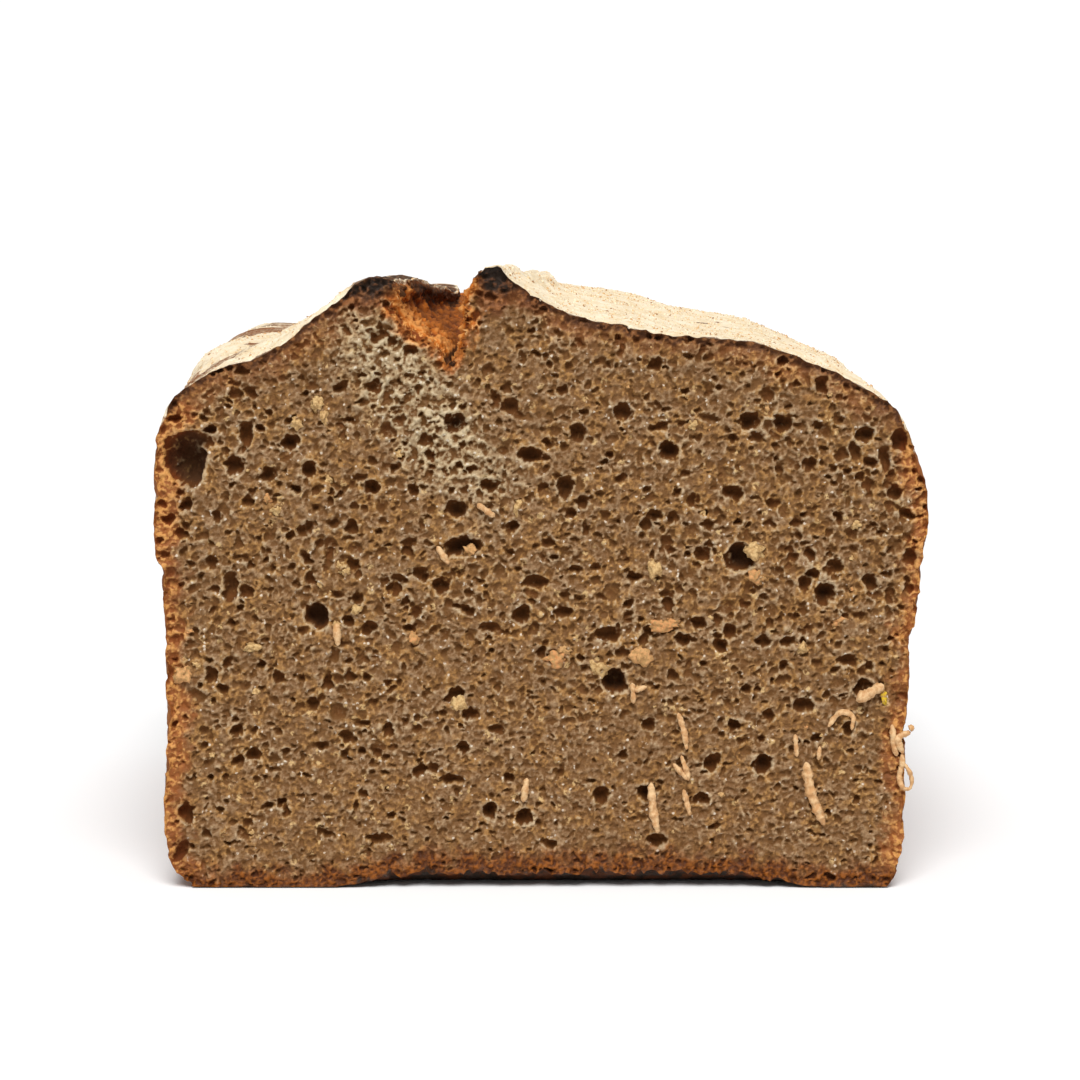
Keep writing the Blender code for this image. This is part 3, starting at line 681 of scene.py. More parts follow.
def crust_points(rings, normals, relief, at):
    """The crust with its relief, the slot at the cleft's bottom and the worn edge of the cut."""
    worn = at.left * ease((EDGE_END - at.x) / 4.0) * ease((at.x - EDGE_START) / 6.0)
    worn = worn * ease((EDGE_REACH - at.y) / EDGE_REACH) * ease((at.up - 0.3) / 0.3)
    skin = rings + normals * (relief * MM)[..., None]
    skin[..., 2] -= (SLOT_DEPTH * at.slot + EDGE_DIP * worn) * MM
    skin[..., 2] = np.maximum(skin[..., 2], 0.0)
    skin[0, :, 1] = CUT
    return skin


def flour_cover(at):
    """How thickly flour lies, from 0 to 1: rubbed off the left shoulder, worn in patches and spots."""
    rubbed = ease((RUBBED_X - at.x) / 6.0) * ease((at.patchy + 0.2) / 0.35)
    rubbed = rubbed * (0.3 + 0.7 * ease((at.y - RUBBED_Y) / 14.0))
    far_shoulder = at.left * ease((at.y - FAR_Y) / 20.0) * ease((FAR_X - at.x) / 8.0)
    rubbed = np.maximum(rubbed, far_shoulder * ease((at.patchy + 0.3) / 0.4))
    worn = ease((pattern("wear", at.s, at.y) - 0.05) / 0.35)
    cover = ease((at.up - 0.02 + 0.24 * at.patchy) / 0.6) * (1.0 - at.cleft)
    cover = cover * (1.0 - 0.82 * rubbed) * (1.0 - np.where(at.left, 0.45, 0.22) * worn)
    for x, y, radius in BARE_SPOTS:
        away = np.hypot(at.x - x, at.y - y) + 0.9 * pattern("bare rims", at.s, at.y)
        cover = cover * (1.0 - 0.95 * ease(radius + 0.5 - away))
    beside_lip = at.left * ease((LIP_CLEAR - at.beside) / 8.0) * ease((at.y - RUBBED_Y) / 20.0)
    return cover * (1.0 - 0.65 * beside_lip)


def scorch(at):
    """How burnt the crust is: its lips, the edge of the cut and the cleft's upper walls; the slot at the
    cleft's bottom is darkened too, as painted shade.
    """
    width = SCORCH_WIDTH + SCORCH_MORE * ease((SCORCH_NEAR - at.y) / 26.0)
    lips = ease((width + 2.4 * at.patchy + 1.6 * at.fray - at.beside) / (0.9 * width))
    lips = lips * np.where(at.left, 1.0, 0.25) * (0.75 + 0.5 * pattern("burnt lips", at.s, at.y))
    lips = lips * (at.up > 0.0) * (1.0 - at.cleft)
    edge = ease((0.9 + 0.8 * at.fray - at.y) / 0.9) * ease((at.up - 0.4) / 0.3) * (1.0 - at.cleft)
    # Painted shade: the slot at the cleft's bottom is darkened like the burnt parts
    slot = at.slot * ease((SLOT_TOP - at.z) / 1.2)
    wall_width = 3.6 + 1.8 * ease((at.y - 12.0) / 20.0) + 2.0 * pattern("burnt walls", at.s, at.y)
    walls = at.cleft * ease((wall_width - into_cleft(at.x.shape[1])) / 2.6)
    burnt = np.maximum.reduce((lips, 0.6 * edge, 1.2 * slot, 1.15 * walls))
    return burnt * ease(at.to_end / SCORCH_FADE + 0.15 * at.fray)


def build_piece(name, points, faces, values, material):
    """A smooth piece of the loaf from arrays of quads or triangles, with named values at its points."""
    corners = np.concatenate([part.ravel() for part in faces])
    sides = np.concatenate([np.full(len(part), part.shape[1]) for part in faces])
    used, places = np.unique(corners, return_inverse=True)
    mesh = bpy.data.meshes.new(name)
    mesh.vertices.add(len(used))
    mesh.vertices.foreach_set("co", points[used].astype(np.float32).ravel())
    mesh.loops.add(len(corners))
    mesh.loops.foreach_set("vertex_index", places.astype(np.int32).ravel())
    mesh.polygons.add(len(sides))
    mesh.polygons.foreach_set("loop_start", (np.cumsum(sides) - sides).astype(np.int32))
    for key, value in values.items():
        layer = mesh.attributes.new(key, "FLOAT", "POINT")
        layer.data.foreach_set("value", np.ravel(value)[used].astype(np.float32))
    mesh.update(calc_edges=True)
    mesh.validate()
    mesh.shade_smooth()
    mesh.materials.append(material)
    piece = bpy.data.objects.new(name, mesh)
    bpy.context.scene.collection.objects.link(piece)
    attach(piece, "root")
    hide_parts("loaf")


def build_crust(rings, normals, travel, material):
    """The crust of the sides, top, cleft and base, in strips that share their edges."""
    at = crust_places(rings, normals, travel)
    relief = crust_relief(at)
    skin = crust_points(rings, normals, relief, at)
    floured = flour_cover(at)
    burnt = scorch(at)
    values = {
        "flour": floured * (1.0 - 0.9 * burnt),
        # burnt holds the scorched crust and the painted shade of the slot at the cleft's bottom
        "burnt": burnt,
        "torn": at.cleft * ease(at.to_end / TORN_FADE - 0.1 + 0.2 * at.fray),
        "dust": ease((at.z - DUST_FROM + 6.0 * at.patchy) / DUST_RISE) * (1.0 - at.cleft),
        "base": at.base,
        "fresh": ease(1.15 - at.y / FRESH_REACH),
        "relief": relief,
    }
    points = skin.reshape(-1, 3)
    count = rings.shape[1]
    rows = np.arange(len(rings) - 1)[:, None] * count
    ends = np.cumsum((0, LEFT_COUNT, CLEFT_COUNT, RIGHT_COUNT, BASE_COUNT))
    for name, start, end in zip(CRUST_NAMES, ends, ends[1:]):
        here = np.arange(start, end)
        after = (here + 1) % count
        quads = np.stack((rows + count + here, rows + count + after, rows + after, rows + here), axis=2)
        build_piece(name, points, [quads.reshape(-1, 4)], values, material)
    build_bran(skin, travel, floured * (1.0 - burnt))
    return skin


def build_bran(skin, travel, floured):
    """Flakes of bran and lumps of flour that lie on the floured top, as one piece."""
    rng = np.random.default_rng(BRAN_SEED)
    columns = skin.shape[1]
    covered = floured[:-1, :-1] * (skin[:-1, :-1, 2] > BRAN_LOWEST * MM)
    weight = (covered > 0.5) * np.diff(travel)[:, None]
    chosen = rng.choice(weight.size, BRAN_COUNT, p=(weight / weight.sum()).ravel())
    row, column = chosen // (columns - 1), chosen % (columns - 1)
    along, across = rng.uniform(0.0, 1.0, (2, BRAN_COUNT, 1))
    corner = skin[row, column]
    centre = corner + along * (skin[row + 1, column] - corner) + across * (skin[row, column + 1] - corner)
    size = BRAN_SIZE[0] + (BRAN_SIZE[1] - BRAN_SIZE[0]) * rng.uniform(0.0, 1.0, BRAN_COUNT) ** 3
    axes = rng.normal(0.0, 1.0, (BRAN_COUNT, 3, 3))
    axes = np.linalg.qr(axes)[0] * (size[:, None] * BRAN_SHAPE * MM)[:, None, :]
    tips = np.concatenate((axes, -axes), axis=2).transpose(0, 2, 1)
    points = (centre[:, None, :] + tips).reshape(-1, 3)
    faces = np.array(BRAN_FACES)[None] + 6 * np.arange(BRAN_COUNT)[:, None, None]
    tones = np.repeat(rng.uniform(0.0, 1.0, BRAN_COUNT), 6)
    build_piece("bran", points, [faces.reshape(-1, 3)], {"tone": tones}, bran_material())


def rows_inside(loop, xs, zs):
    """Which points of an even grid lie inside a closed outline."""
    inside = np.zeros((len(zs), len(xs)), dtype=bool)
    a = loop
    b = np.roll(loop, -1, axis=0)
    for row, z in enumerate(zs):
        crosses = (a[:, 1] > z) != (b[:, 1] > z)
        at = a[crosses, 0] + (z - a[crosses, 1]) / (b[crosses, 1] - a[crosses, 1]) * (b - a)[crosses, 0]
        inside[row] = np.searchsorted(np.sort(at), xs) % 2 == 1
    return inside


def is_inside(places, loop):
    """Which of the places lie inside a closed outline."""
    inside = np.zeros(len(places), dtype=bool)
    x, z = places.T
    for a, b in zip(loop, np.roll(loop, -1, axis=0)):
        if a[1] != b[1]:
            crosses = (a[1] > z) != (b[1] > z)
            inside ^= crosses & (x < a[0] + (z - a[1]) / (b[1] - a[1]) * (b[0] - a[0]))
    return inside


def whole_cells(loop, cell):
    """An even grid over a closed outline, and which of its cells lie clear inside."""
    xs = np.arange(loop[:, 0].min() - cell, loop[:, 0].max() + 2 * cell, cell)
    zs = np.arange(loop[:, 1].min() - cell, loop[:, 1].max() + 2 * cell, cell)
    keep = rows_inside(loop, xs, zs)
    ahead = np.roll(loop, -1, axis=0) - loop
    steps = int(np.ceil(np.linalg.norm(ahead, axis=1).max() / (0.3 * cell)))
    for step in range(steps):
        passed = loop + ahead * step / steps
        column, row = np.round((passed - (xs[0], zs[0])) / cell).astype(int).T
        keep[row, column] = False
    return xs, zs, keep[:-1, :-1] & keep[1:, :-1] & keep[:-1, 1:] & keep[1:, 1:]


def lone_edges(quads, size):
    """The edges that only one of the quads has, as pairs of indices below the size."""
    edges = np.sort(np.vstack([quads[:, [side, (side + 1) % 4]] for side in range(4)]), axis=1)
    codes, counts = np.unique(edges[:, 0] * size + edges[:, 1], return_counts=True)
    lone = codes[counts == 1]
    return np.stack((lone // size, lone % size), axis=1)


def join_band(loop, inner, edges):
    """Triangles over an outline and inner edges: their centres, corners and any added points."""
    ring = np.arange(len(loop))
    coords = np.vstack((loop, inner))
    constraints = np.vstack((np.stack((ring, np.roll(ring, -1)), axis=1), edges + len(loop)))
    made = delaunay_2d_cdt([Vector(p) for p in coords], constraints.tolist(), [], 1, 1e-9, True)
    spots = np.array([tuple(p) for p in made[0]])
    added = [index for index, ids in enumerate(made[3]) if not ids]
    origins = np.array([ids[0] if ids else -1 for ids in made[3]])
    origins[added] = len(coords) + np.arange(len(added))
    triangles = np.array([face for face in made[2] if len(face) == 3])
    return spots[triangles].mean(axis=1), origins[triangles], spots[added]


def fill_outline(loop, cell):
    """Fills a closed outline with even quads and joins them to it by a band of triangles."""
    xs, zs, whole = whole_cells(loop, cell)
    width = len(xs)
    row, column = np.nonzero(whole)
    corner = row * width + column
    quads = np.stack((corner, corner + 1, corner + width + 1, corner + width), axis=1)
    lone = lone_edges(quads, width * len(zs))
    border = np.unique(lone)
    grid = np.stack(np.meshgrid(xs, zs), axis=2).reshape(-1, 2)
    centres, triangles, added = join_band(loop, grid[border], np.searchsorted(border, lone))
    column, row = np.floor((centres - (xs[0], zs[0])) / cell).astype(int).T
    triangles = triangles[~whole[row, column] & is_inside(centres, loop)]
    used, places = np.unique(quads, return_inverse=True)
    points = np.vstack((loop, grid[used], added))
    quads = places.reshape(quads.shape) + len(loop)
    from_border = np.searchsorted(used, border) + len(loop)
    extra = len(loop) + len(used) + np.arange(len(added))
    lookup = np.concatenate((np.arange(len(loop)), from_border, extra))
    return points, quads, lookup[triangles]


def large_pores():
    """The largest pores, as x, z, width, height and tilt in metres."""
    pores = []
    for x, z, width, height, tilt in LARGE_PORES:
        pores.append((x * MM, z * UPWARD * MM, width * MM, height * UPWARD * MM, math.radians(tilt)))
    return pores


def middling_pores(taken):
    """The same seeded pores between the largest ones as the solid has."""
    draw = random.Random(PORE_SEED)
    pores = list(taken)
    for _ in range(PORE_TRIES):
        x = draw.uniform(-PORE_REACH, PORE_REACH)
        z = draw.uniform(PORE_LOWEST, PORE_HIGHEST)
        width = draw.uniform(*PORE_WIDTH)
        height = width * draw.uniform(*PORE_FLATNESS)
        tilt = draw.uniform(0.0, math.pi)
        fits = z < PORE_HIGHEST + PORE_SLOPE * (PORE_REACH / 2 - abs(x))
        for other in pores:
            reach = (max(other[2], other[3]) + width) / 2 + PORE_GAP
            fits = fits and math.hypot(other[0] - x, other[1] - z) > reach
        if fits:
            pores.append((x, z, width, height, tilt))
        if len(pores) == len(taken) + PORE_COUNT:
            break
    return pores


def stamp(depth, origin, x, z, width, height, deep, tilt):
    """Presses one bowl into the raster of depths, all in millimetres."""
    reach = max(width, height) / 2
    left = max(int((x - reach - origin[0]) / RASTER), 0)
    right = min(int((x + reach - origin[0]) / RASTER) + 2, depth.shape[1])
    lower = max(int((z - reach - origin[1]) / RASTER), 0)
    upper = min(int((z + reach - origin[1]) / RASTER) + 2, depth.shape[0])
    if right <= left or upper <= lower:
        return
    across = origin[0] + np.arange(left, right) * RASTER - x
    upward = (origin[1] + np.arange(lower, upper) * RASTER - z)[:, None]
    u = (across * math.cos(tilt) + upward * math.sin(tilt)) / (width / 2)
    v = (upward * math.cos(tilt) - across * math.sin(tilt)) / (height / 2)
    bowl = deep * np.clip(1.0 - u * u - v * v, 0.0, None) ** BOWL_POWER
    window = depth[lower:upper, left:right]
    np.maximum(window, bowl, out=window)


def pore_raster(low, high, shift):
    """Depths below the cut on a fine raster, in millimetres, from pores of every size."""
    origin = (low[0] - 1.0, low[1] - 1.0)
    columns = int((high[0] - low[0] + 2.0) / RASTER) + 2
    rows = int((high[1] - low[1] + 2.0) / RASTER) + 2
    depth = np.zeros((rows, columns))
    rng = np.random.default_rng(FINE_SEED)
    for count, smallest, largest in FINE_PORES:
        x = rng.uniform(low[0], high[0], count)
        z = low[1] + (high[1] - low[1]) * rng.uniform(0.0, 1.0, count)
        width = smallest * (largest / smallest) ** rng.uniform(0.0, 1.0, count)
        width = width * (0.8 + 0.28 * ease((z - 8.0) / 40.0))
        flat = rng.uniform(0.55, 1.05, count) * (0.75 + 0.25 * ease(z / 30.0))
        tilt = rng.normal(0.0, 0.45, count)
        deep = width * (0.24 + 0.8 * rng.uniform(0.0, 1.0, count) ** 3.6)
        for pore in zip(x, z, width, width * flat, deep, tilt):
            stamp(depth, origin, *pore)
    for table, share in ((NOTED_PORES, NOTED_SHARE), (SOFT_HOLLOWS, SOFT_SHARE)):
        for x, z, width, height, tilt in table:
            deep = share * min(width, height)
            stamp(depth, origin, x + shift, z * UPWARD, width, height, deep, math.radians(tilt))
    for x, z, width, height, tilt in middling_pores(large_pores()):
        size = (width / MM, height / MM)
        stamp(depth, origin, x / MM + shift, z / MM, *size, NOTED_SHARE * min(size), tilt)
    return part_filled(depth, origin, shift), origin


def part_filled(depth, origin, shift):
    """The same depths, with the lower right part of the largest hole filled by crumb."""
    x = origin[0] + np.arange(depth.shape[1])[None, :] * RASTER - shift
    z = (origin[1] + np.arange(depth.shape[0])[:, None] * RASTER) / UPWARD
    slant = FILLED_TOP[0] + (z - FILLED_TOP[1]) * FILLED_SLANT
    filled = ease((x - slant) / 0.7) * ease((FILLED_TOP[1] + 0.6 - z) / 0.7) * (x < FILLED_RIGHT)
    filled = filled * (z > FILLED_LOW)
    return depth * (1.0 - filled) + np.minimum(depth, FILLED_DEPTH) * filled


def grain_raster(shape, origin):
    """Heights of the small round grains on the same raster, in millimetres."""
    heights = np.zeros(shape)
    rng = np.random.default_rng(GRAIN_SEED)
    for count, smallest, largest in GRAINS:
        x = origin[0] + rng.uniform(0.0, shape[1] * RASTER, count)
        z = origin[1] + rng.uniform(0.0, shape[0] * RASTER, count)
        width = rng.uniform(smallest, largest, count)
        flat = rng.uniform(0.5, 0.95, count)
        tilt = rng.uniform(0.0, math.pi, count)
        for grain in zip(x, z, width, width * flat, 0.42 * width * flat, tilt):
            stamp(heights, origin, *grain)
    return heights


def relief_raster(depth, origin):
    """The depths with wandering outlines, and the whole relief with grains, on the same raster."""
    columns = origin[0] + np.arange(depth.shape[1]) * RASTER
    rows = origin[1] + np.arange(depth.shape[0]) * RASTER
    x, z = np.meshgrid(columns, rows)
    wander_x = 0.36 * pattern("wander x", x, z) + 0.16 * pattern("quiver x", x, z)
    wander_z = 0.30 * pattern("wander z", x, z) + 0.16 * pattern("quiver z", x, z)
    hollow = sample(depth, origin, RASTER, x + wander_x, z + wander_z)
    grains = grain_raster(depth.shape, origin)
    grains = sample(grains, origin, RASTER, x + 0.5 * wander_x, z + 0.5 * wander_z)
    rough = 0.30 * np.abs(pattern("ridges", x, z))
    rough = rough + 0.12 * pattern("grit", x, z) + 0.25 * pattern("waves", x, z)
    on_walls = 0.8 - 0.55 * ease(hollow / 0.6)
    return hollow, hollow + rough - grains * on_walls + 0.35


def sample(raster, origin, step, x, z):
    """Values of a raster at any places, blended between its points."""
    u = np.clip((x - origin[0]) / step, 0, raster.shape[1] - 1.001)
    v = np.clip((z - origin[1]) / step, 0, raster.shape[0] - 1.001)
    column = u.astype(int)
    row = v.astype(int)
    across = u - column
    upward = v - row
    bottom = raster[row, column] * (1 - across) + raster[row, column + 1] * across
    top = raster[row + 1, column] * (1 - across) + raster[row + 1, column + 1] * across
    return bottom * (1 - upward) + top * upward


def blurred(raster, reach):
    """The raster averaged over a square, three times over."""
    size = 2 * reach + 1
    for axis in (0, 1) * 3:
        pads = [(0, 0), (0, 0)]
        pads[axis] = (reach + 1, reach)
        sums = np.cumsum(np.pad(raster, pads, mode="edge"), axis=axis)
        last = np.take(sums, range(size, sums.shape[axis]), axis)
        first = np.take(sums, range(sums.shape[axis] - size), axis)
        raster = (last - first) / size
    return raster


def edge_distances(loop, x, z):
    """The distance from each point to each kind of crust, in millimetres."""
    origin = loop.min(axis=0) - 2.0
    columns, rows = ((loop.max(axis=0) - loop.min(axis=0) + 4.0) / EDGE_CELL).astype(int) + 2
    xs = origin[0] + np.arange(columns) * EDGE_CELL
    zs = origin[1] + np.arange(rows) * EDGE_CELL
    index = np.arange(len(loop))
    in_cleft = (index >= LEFT_COUNT) & (index < LEFT_COUNT + CLEFT_COUNT)
    in_base = index >= LEFT_COUNT + CLEFT_COUNT + RIGHT_COUNT
    high_up = loop[:, 1] > np.where(loop[:, 0] < 0, 76.0, 73.5)
    kinds = {
        "cleft": in_cleft,
        "base": in_base,
        "top": high_up & ~in_cleft,
        "side": ~high_up & ~in_cleft & ~in_base,
    }
    distances = {}
    for kind, chosen in kinds.items():
        nearest = np.full((rows, columns), 1e9)
        for spot_x, spot_z in loop[chosen]:
            np.minimum(nearest, (xs[None, :] - spot_x) ** 2 + (zs[:, None] - spot_z) ** 2, out=nearest)
        distances[kind] = sample(np.sqrt(nearest), origin, EDGE_CELL, x, z)
    return distances


def near_spots(spots, x, z, ragged):
    """How near each point is to any of the spots, from 0 to 1."""
    shares = []
    for middle_x, middle_z, stretch, reach, torn, soft in spots:
        away = np.hypot((x - middle_x) / stretch, z - middle_z)
        shares.append(ease((reach - away + torn * ragged) / soft))
    return np.maximum.reduce(shares)


def cut_masks(x, z, near):
    """Where the cut is dry, browned, torn or burnt, from 0 to 1; the charred line along the base is partly
    painted shade.
    """
    patch = pattern("edge patches", x, z)
    ragged = pattern("edge tears", x, z)
    across = (x - DRY_MIDDLE[0] + (z - DRY_MIDDLE[1]) * DRY_LEAN) / DRY_SPREAD[0]
    upward = (z - DRY_MIDDLE[1]) / DRY_SPREAD[1]
    top_edge = ease((3.4 - near["top"] + 1.4 * ragged) / 2.6)
    top_edge = top_edge * ease((12.0 - x) / 16.0) * ease((x + 14.0) / 4.0)
    masks = {
        "dry": ease(1.6 - np.hypot(across, upward) + 0.35 * patch),
        "scorch": near_spots(BURNT_TIPS, x, z, ragged),
        "browned": np.maximum(near_spots(BROWNED_LIPS, x, z, ragged), top_edge),
    }
    for name, (edge, left, right, torn, patched, soft) in EDGE_BANDS.items():
        width = np.where(x > 0.0, right, left)
        masks[name] = ease((width - near[edge] + torn * ragged + patched * patch) / soft)
    return masks


def build_bands(x, spots, quads, triangles, values, material):
    """The cut face as four pieces, from left to right."""
    limits = (-1e9, *np.quantile(x, (0.25, 0.5, 0.75)), 1e9)
    middles = x[quads].mean(axis=1)
    edge_middles = x[triangles].mean(axis=1)
    for number, (start, end) in enumerate(zip(limits, limits[1:]), 1):
        chosen = quads[(middles >= start) & (middles < end)]
        edge = triangles[(edge_middles >= start) & (edge_middles < end)]
        build_piece(f"crumb_{number}", spots, [chosen, edge], values, material)


def build_crumb(loop, shift, material):
    """The cut face: a fine grid pressed in by the pores, its border on the crust's edge."""
    points, quads, triangles = fill_outline(loop, CRUMB_CELL)
    x, height = points.T
    z = height / UPWARD
    depth, origin = pore_raster(loop.min(axis=0), loop.max(axis=0), shift)
    hollows, relief = relief_raster(depth, origin)
    near = edge_distances(loop, x, height)
    from_edge = ease(np.minimum.reduce(list(near.values())) / 0.5)
    hollow = sample(hollows, origin, RASTER, x, height)
    inward = sample(relief, origin, RASTER, x, height)
    close = sample(blurred(relief, 2), origin, RASTER, x, height) - inward
    around = sample(blurred(relief, 6), origin, RASTER, x, height) - inward
    inward = inward * from_edge
    inward[: len(loop)] = 0.0
    values = cut_masks(x, z, near)
    crumbly = values["dry"] * pattern("dry crumbs", x, z)
    inward += 0.35 * crumbly * from_edge
    # proud is higher where the cut stands out above its surroundings; the materials lighten the crumb there
    # and darken it below, as painted highlight and painted shade
    proud = np.clip(0.5 + 0.8 * close + 0.55 * around, 0.0, 1.0)
    values["proud"] = np.clip(proud - 0.3 * crumbly, 0.0, 1.0)
    # Painted shade: hollow and deep darken the crumb's colour in its pores
    values["hollow"] = 1.0 - np.exp(-np.clip(hollow - 0.05, 0.0, None) / 0.6)
    values["deep"] = ease((hollow - 1.7) / 1.8)
    spots = np.stack((x * MM, CUT + inward * MM, height * MM), axis=1)
    build_bands(x, spots, quads, triangles, values, material)
    return relief, origin


def build_heel(ring, material):
    """The flat of the heel, slightly crowned, with the crust's grain."""
    loop = ring[:, [0, 2]] / MM
    points, quads, triangles = fill_outline(loop, HEEL_CELL)
    x, z = points.T
    nearest = np.full(len(points), 1e9)
    for spot in loop[::4]:
        np.minimum(nearest, np.hypot(x - spot[0], z - spot[1]), out=nearest)
    pits = 0.5 * ease((pattern("heel pits", x, z) - 0.35) / 0.3)
    relief = 0.28 * pattern("heel lumps", x, z) + 0.14 * pattern("heel grain", x, z) - pits
    relief = relief * ease(nearest / 3.0)
    y = ring[:, 1].mean() + HEEL_CROWN * ease(nearest / 25.0) + relief * MM
    y[: len(loop)] = ring[:, 1]
    spots = np.stack((x * MM, y, z * MM), axis=1)
    zeros = np.zeros(len(points))
    values = {key: zeros for key in ("flour", "burnt", "torn", "base", "fresh")}
    values["dust"] = ease((z - DUST_FROM) / DUST_RISE)
    values["relief"] = relief
    build_piece("crust_heel", spots, [quads[:, ::-1], triangles[:, ::-1]], values, material)


def rgb(red, green, blue):
    """A colour from its screen values, 0 to 255, as the light that it gives."""
    linear = []
    for value in (red, green, blue):
        share = value / 255
        linear.append(share / 12.92 if share <= 0.04045 else ((share + 0.055) / 1.055) ** 2.4)
    return (*linear, 1.0)


class Paint:
    """Adds the nodes of one material and joins them."""

    def __init__(self, name):
        """A new material, its shader and the place that its patterns follow."""
        self.material = bpy.data.materials.new(name)
        self.material.use_nodes = True
        self.nodes = self.material.node_tree.nodes
        self.links = self.material.node_tree.links
        self.shader = self.nodes["Principled BSDF"]
        self.place = self.nodes.new("ShaderNodeTexCoord").outputs["Object"]

    def put(self, socket, value):
        """Joins a node's output to a socket, or sets the socket's own number or screen colour."""
        if isinstance(value, bpy.types.NodeSocket):
            self.links.new(value, socket)
        else:
            socket.default_value = rgb(*value) if isinstance(value, tuple) else value

    def node(self, kind, inputs, **settings):
        """Adds a node with its settings, and joins or sets its inputs."""
        node = self.nodes.new("ShaderNode" + kind)
        for name, value in settings.items():
            setattr(node, name, value)
        for name, value in inputs.items():
            self.put(node.inputs[name], value)
        return node.outputs

    def value(self, name):
        """A value kept at the mesh's points."""
        return self.node("Attribute", {}, attribute_name=name)["Fac"]

    def noise(self, size, detail=2.0, roughness=0.5):
        """Noise whose bumps have the given size in metres."""
        inputs = {"Vector": self.place, "Scale": 1.0 / size, "Detail": detail, "Roughness": roughness}
        return self.node("TexNoise", inputs)["Fac"]

    def specks(self, size, share):
        """Small round specks in a share of the cells of the given size."""
        cells = self.node("TexVoronoi", {"Vector": self.place, "Scale": 1.0 / size})
        parts = self.node("SeparateColor", {"Color": cells["Color"]})
        chosen = self.math("LESS_THAN", parts["Red"], share)
        return self.math("MULTIPLY", chosen, self.ramp(cells["Distance"], 0.5, 0.3))

    def ramp(self, value, low, high):
        """Changes smoothly from 0 at the first bound to 1 at the second."""
        inputs = {"Value": value, "From Min": low, "From Max": high}
        return self.node("MapRange", inputs, interpolation_type="SMOOTHSTEP")["Result"]

    def math(self, operation, *numbers):
        """One sum of two or three numbers."""
        return self.node("Math", dict(enumerate(numbers)), operation=operation)[0]

    def mix(self, share, first, second):
        """Blends two colours."""
        return self.node("Mix", {0: share, 6: first, 7: second}, data_type="RGBA")[2]

    def over(self, colour, new, *shares):
        """Lays a new colour over one by the product of the shares."""
        share = shares[0]
        for factor in shares[1:]:
            share = self.math("MULTIPLY", share, factor)
        return self.mix(share, colour, new)

    def stir(self, value, pattern, amount):
        """Pushes a value up and down by a noise."""
        return self.math("MULTIPLY_ADD", self.math("SUBTRACT", pattern, 0.5), amount, value)

    def bump(self, strength, distance, *grains):
        """Bends the surface's light by grains, each with its weight, in the given distance."""
        heights = [self.math("MULTIPLY", grain, weight) for grain, weight in grains]
        height = heights[0] if len(heights) == 1 else self.math("ADD", *heights)
        inputs = {"Height": height, "Strength": strength, "Distance": distance}
        self.put(self.shader.inputs["Normal"], self.node("Bump", inputs)["Normal"])

    def finish(self, colour, roughness, specular=0.3):
        """Sets the shader's colour, roughness and gloss."""
        self.put(self.shader.inputs["Base Color"], colour)
        self.put(self.shader.inputs["Roughness"], roughness)
        self.put(self.shader.inputs["Specular IOR Level"], specular)
        return self.material


def crumb_tones(paint, raised, hollow, fine, grit, broad):
    """Crumb walls lighter where raised and pores darker with depth, as painted highlight and painted shade,
    with dark grit and pale kernels.
    """
    wall = paint.mix(paint.ramp(paint.noise(0.0022, 2.0), 0.42, 0.62), WALL, WALL_WARM)
    # Painted shade: the floor darkens with the pore's depth
    floor = paint.mix(paint.ramp(hollow, 0.05, 0.55), CRUMB, GRIT_AND_HOLLOW_SHADE)
    floor = paint.mix(paint.ramp(hollow, 0.5, 0.9), floor, PORE_SHADE)
    # Painted highlight and painted shade: raised crumb takes the wall tones and the palest highlight, sunk
    # crumb the darker floor
    colour = paint.mix(paint.ramp(raised, 0.36, 0.8), floor, wall)
    colour = paint.over(colour, RIDGE_HIGHLIGHT, paint.ramp(raised, 0.7, 1.05), 0.5)
    colour = paint.over(colour, CRUMB, paint.ramp(broad, 0.4, 0.7), 0.22)
    colour = paint.over(colour, GRIT_AND_HOLLOW_SHADE, paint.ramp(grit, 0.5, 0.68), 0.3)
    kernels = paint.math("MULTIPLY", paint.specks(0.0014, 0.10), paint.ramp(hollow, 0.6, 0.3))
    return paint.over(colour, KERNEL, kernels, paint.ramp(fine, 0.42, 0.58), 0.8)


def dry_tones(paint, colour, raised):
    """The pale dry patch, paler on its raised crumb and palest on its ridges, partly chalky crumb and partly
    painted highlight, and painted glints.
    """
    dry = paint.value("dry")
    # The dry patch: paler dry crumb on its raised parts and, on its ridges, chalky crumb with painted
    # highlight
    colour = paint.over(colour, DRY, dry, paint.ramp(raised, 0.34, 0.6), 0.66)
    colour = paint.over(colour, CHALK_AND_HIGHLIGHT, dry, paint.ramp(raised, 0.62, 0.85), 0.6)
    # Painted highlight: tiny glints on raised crumb
    return paint.over(colour, PAINTED_GLINT, paint.specks(0.0006, 0.09), paint.ramp(raised, 0.5, 0.7), 0.6)


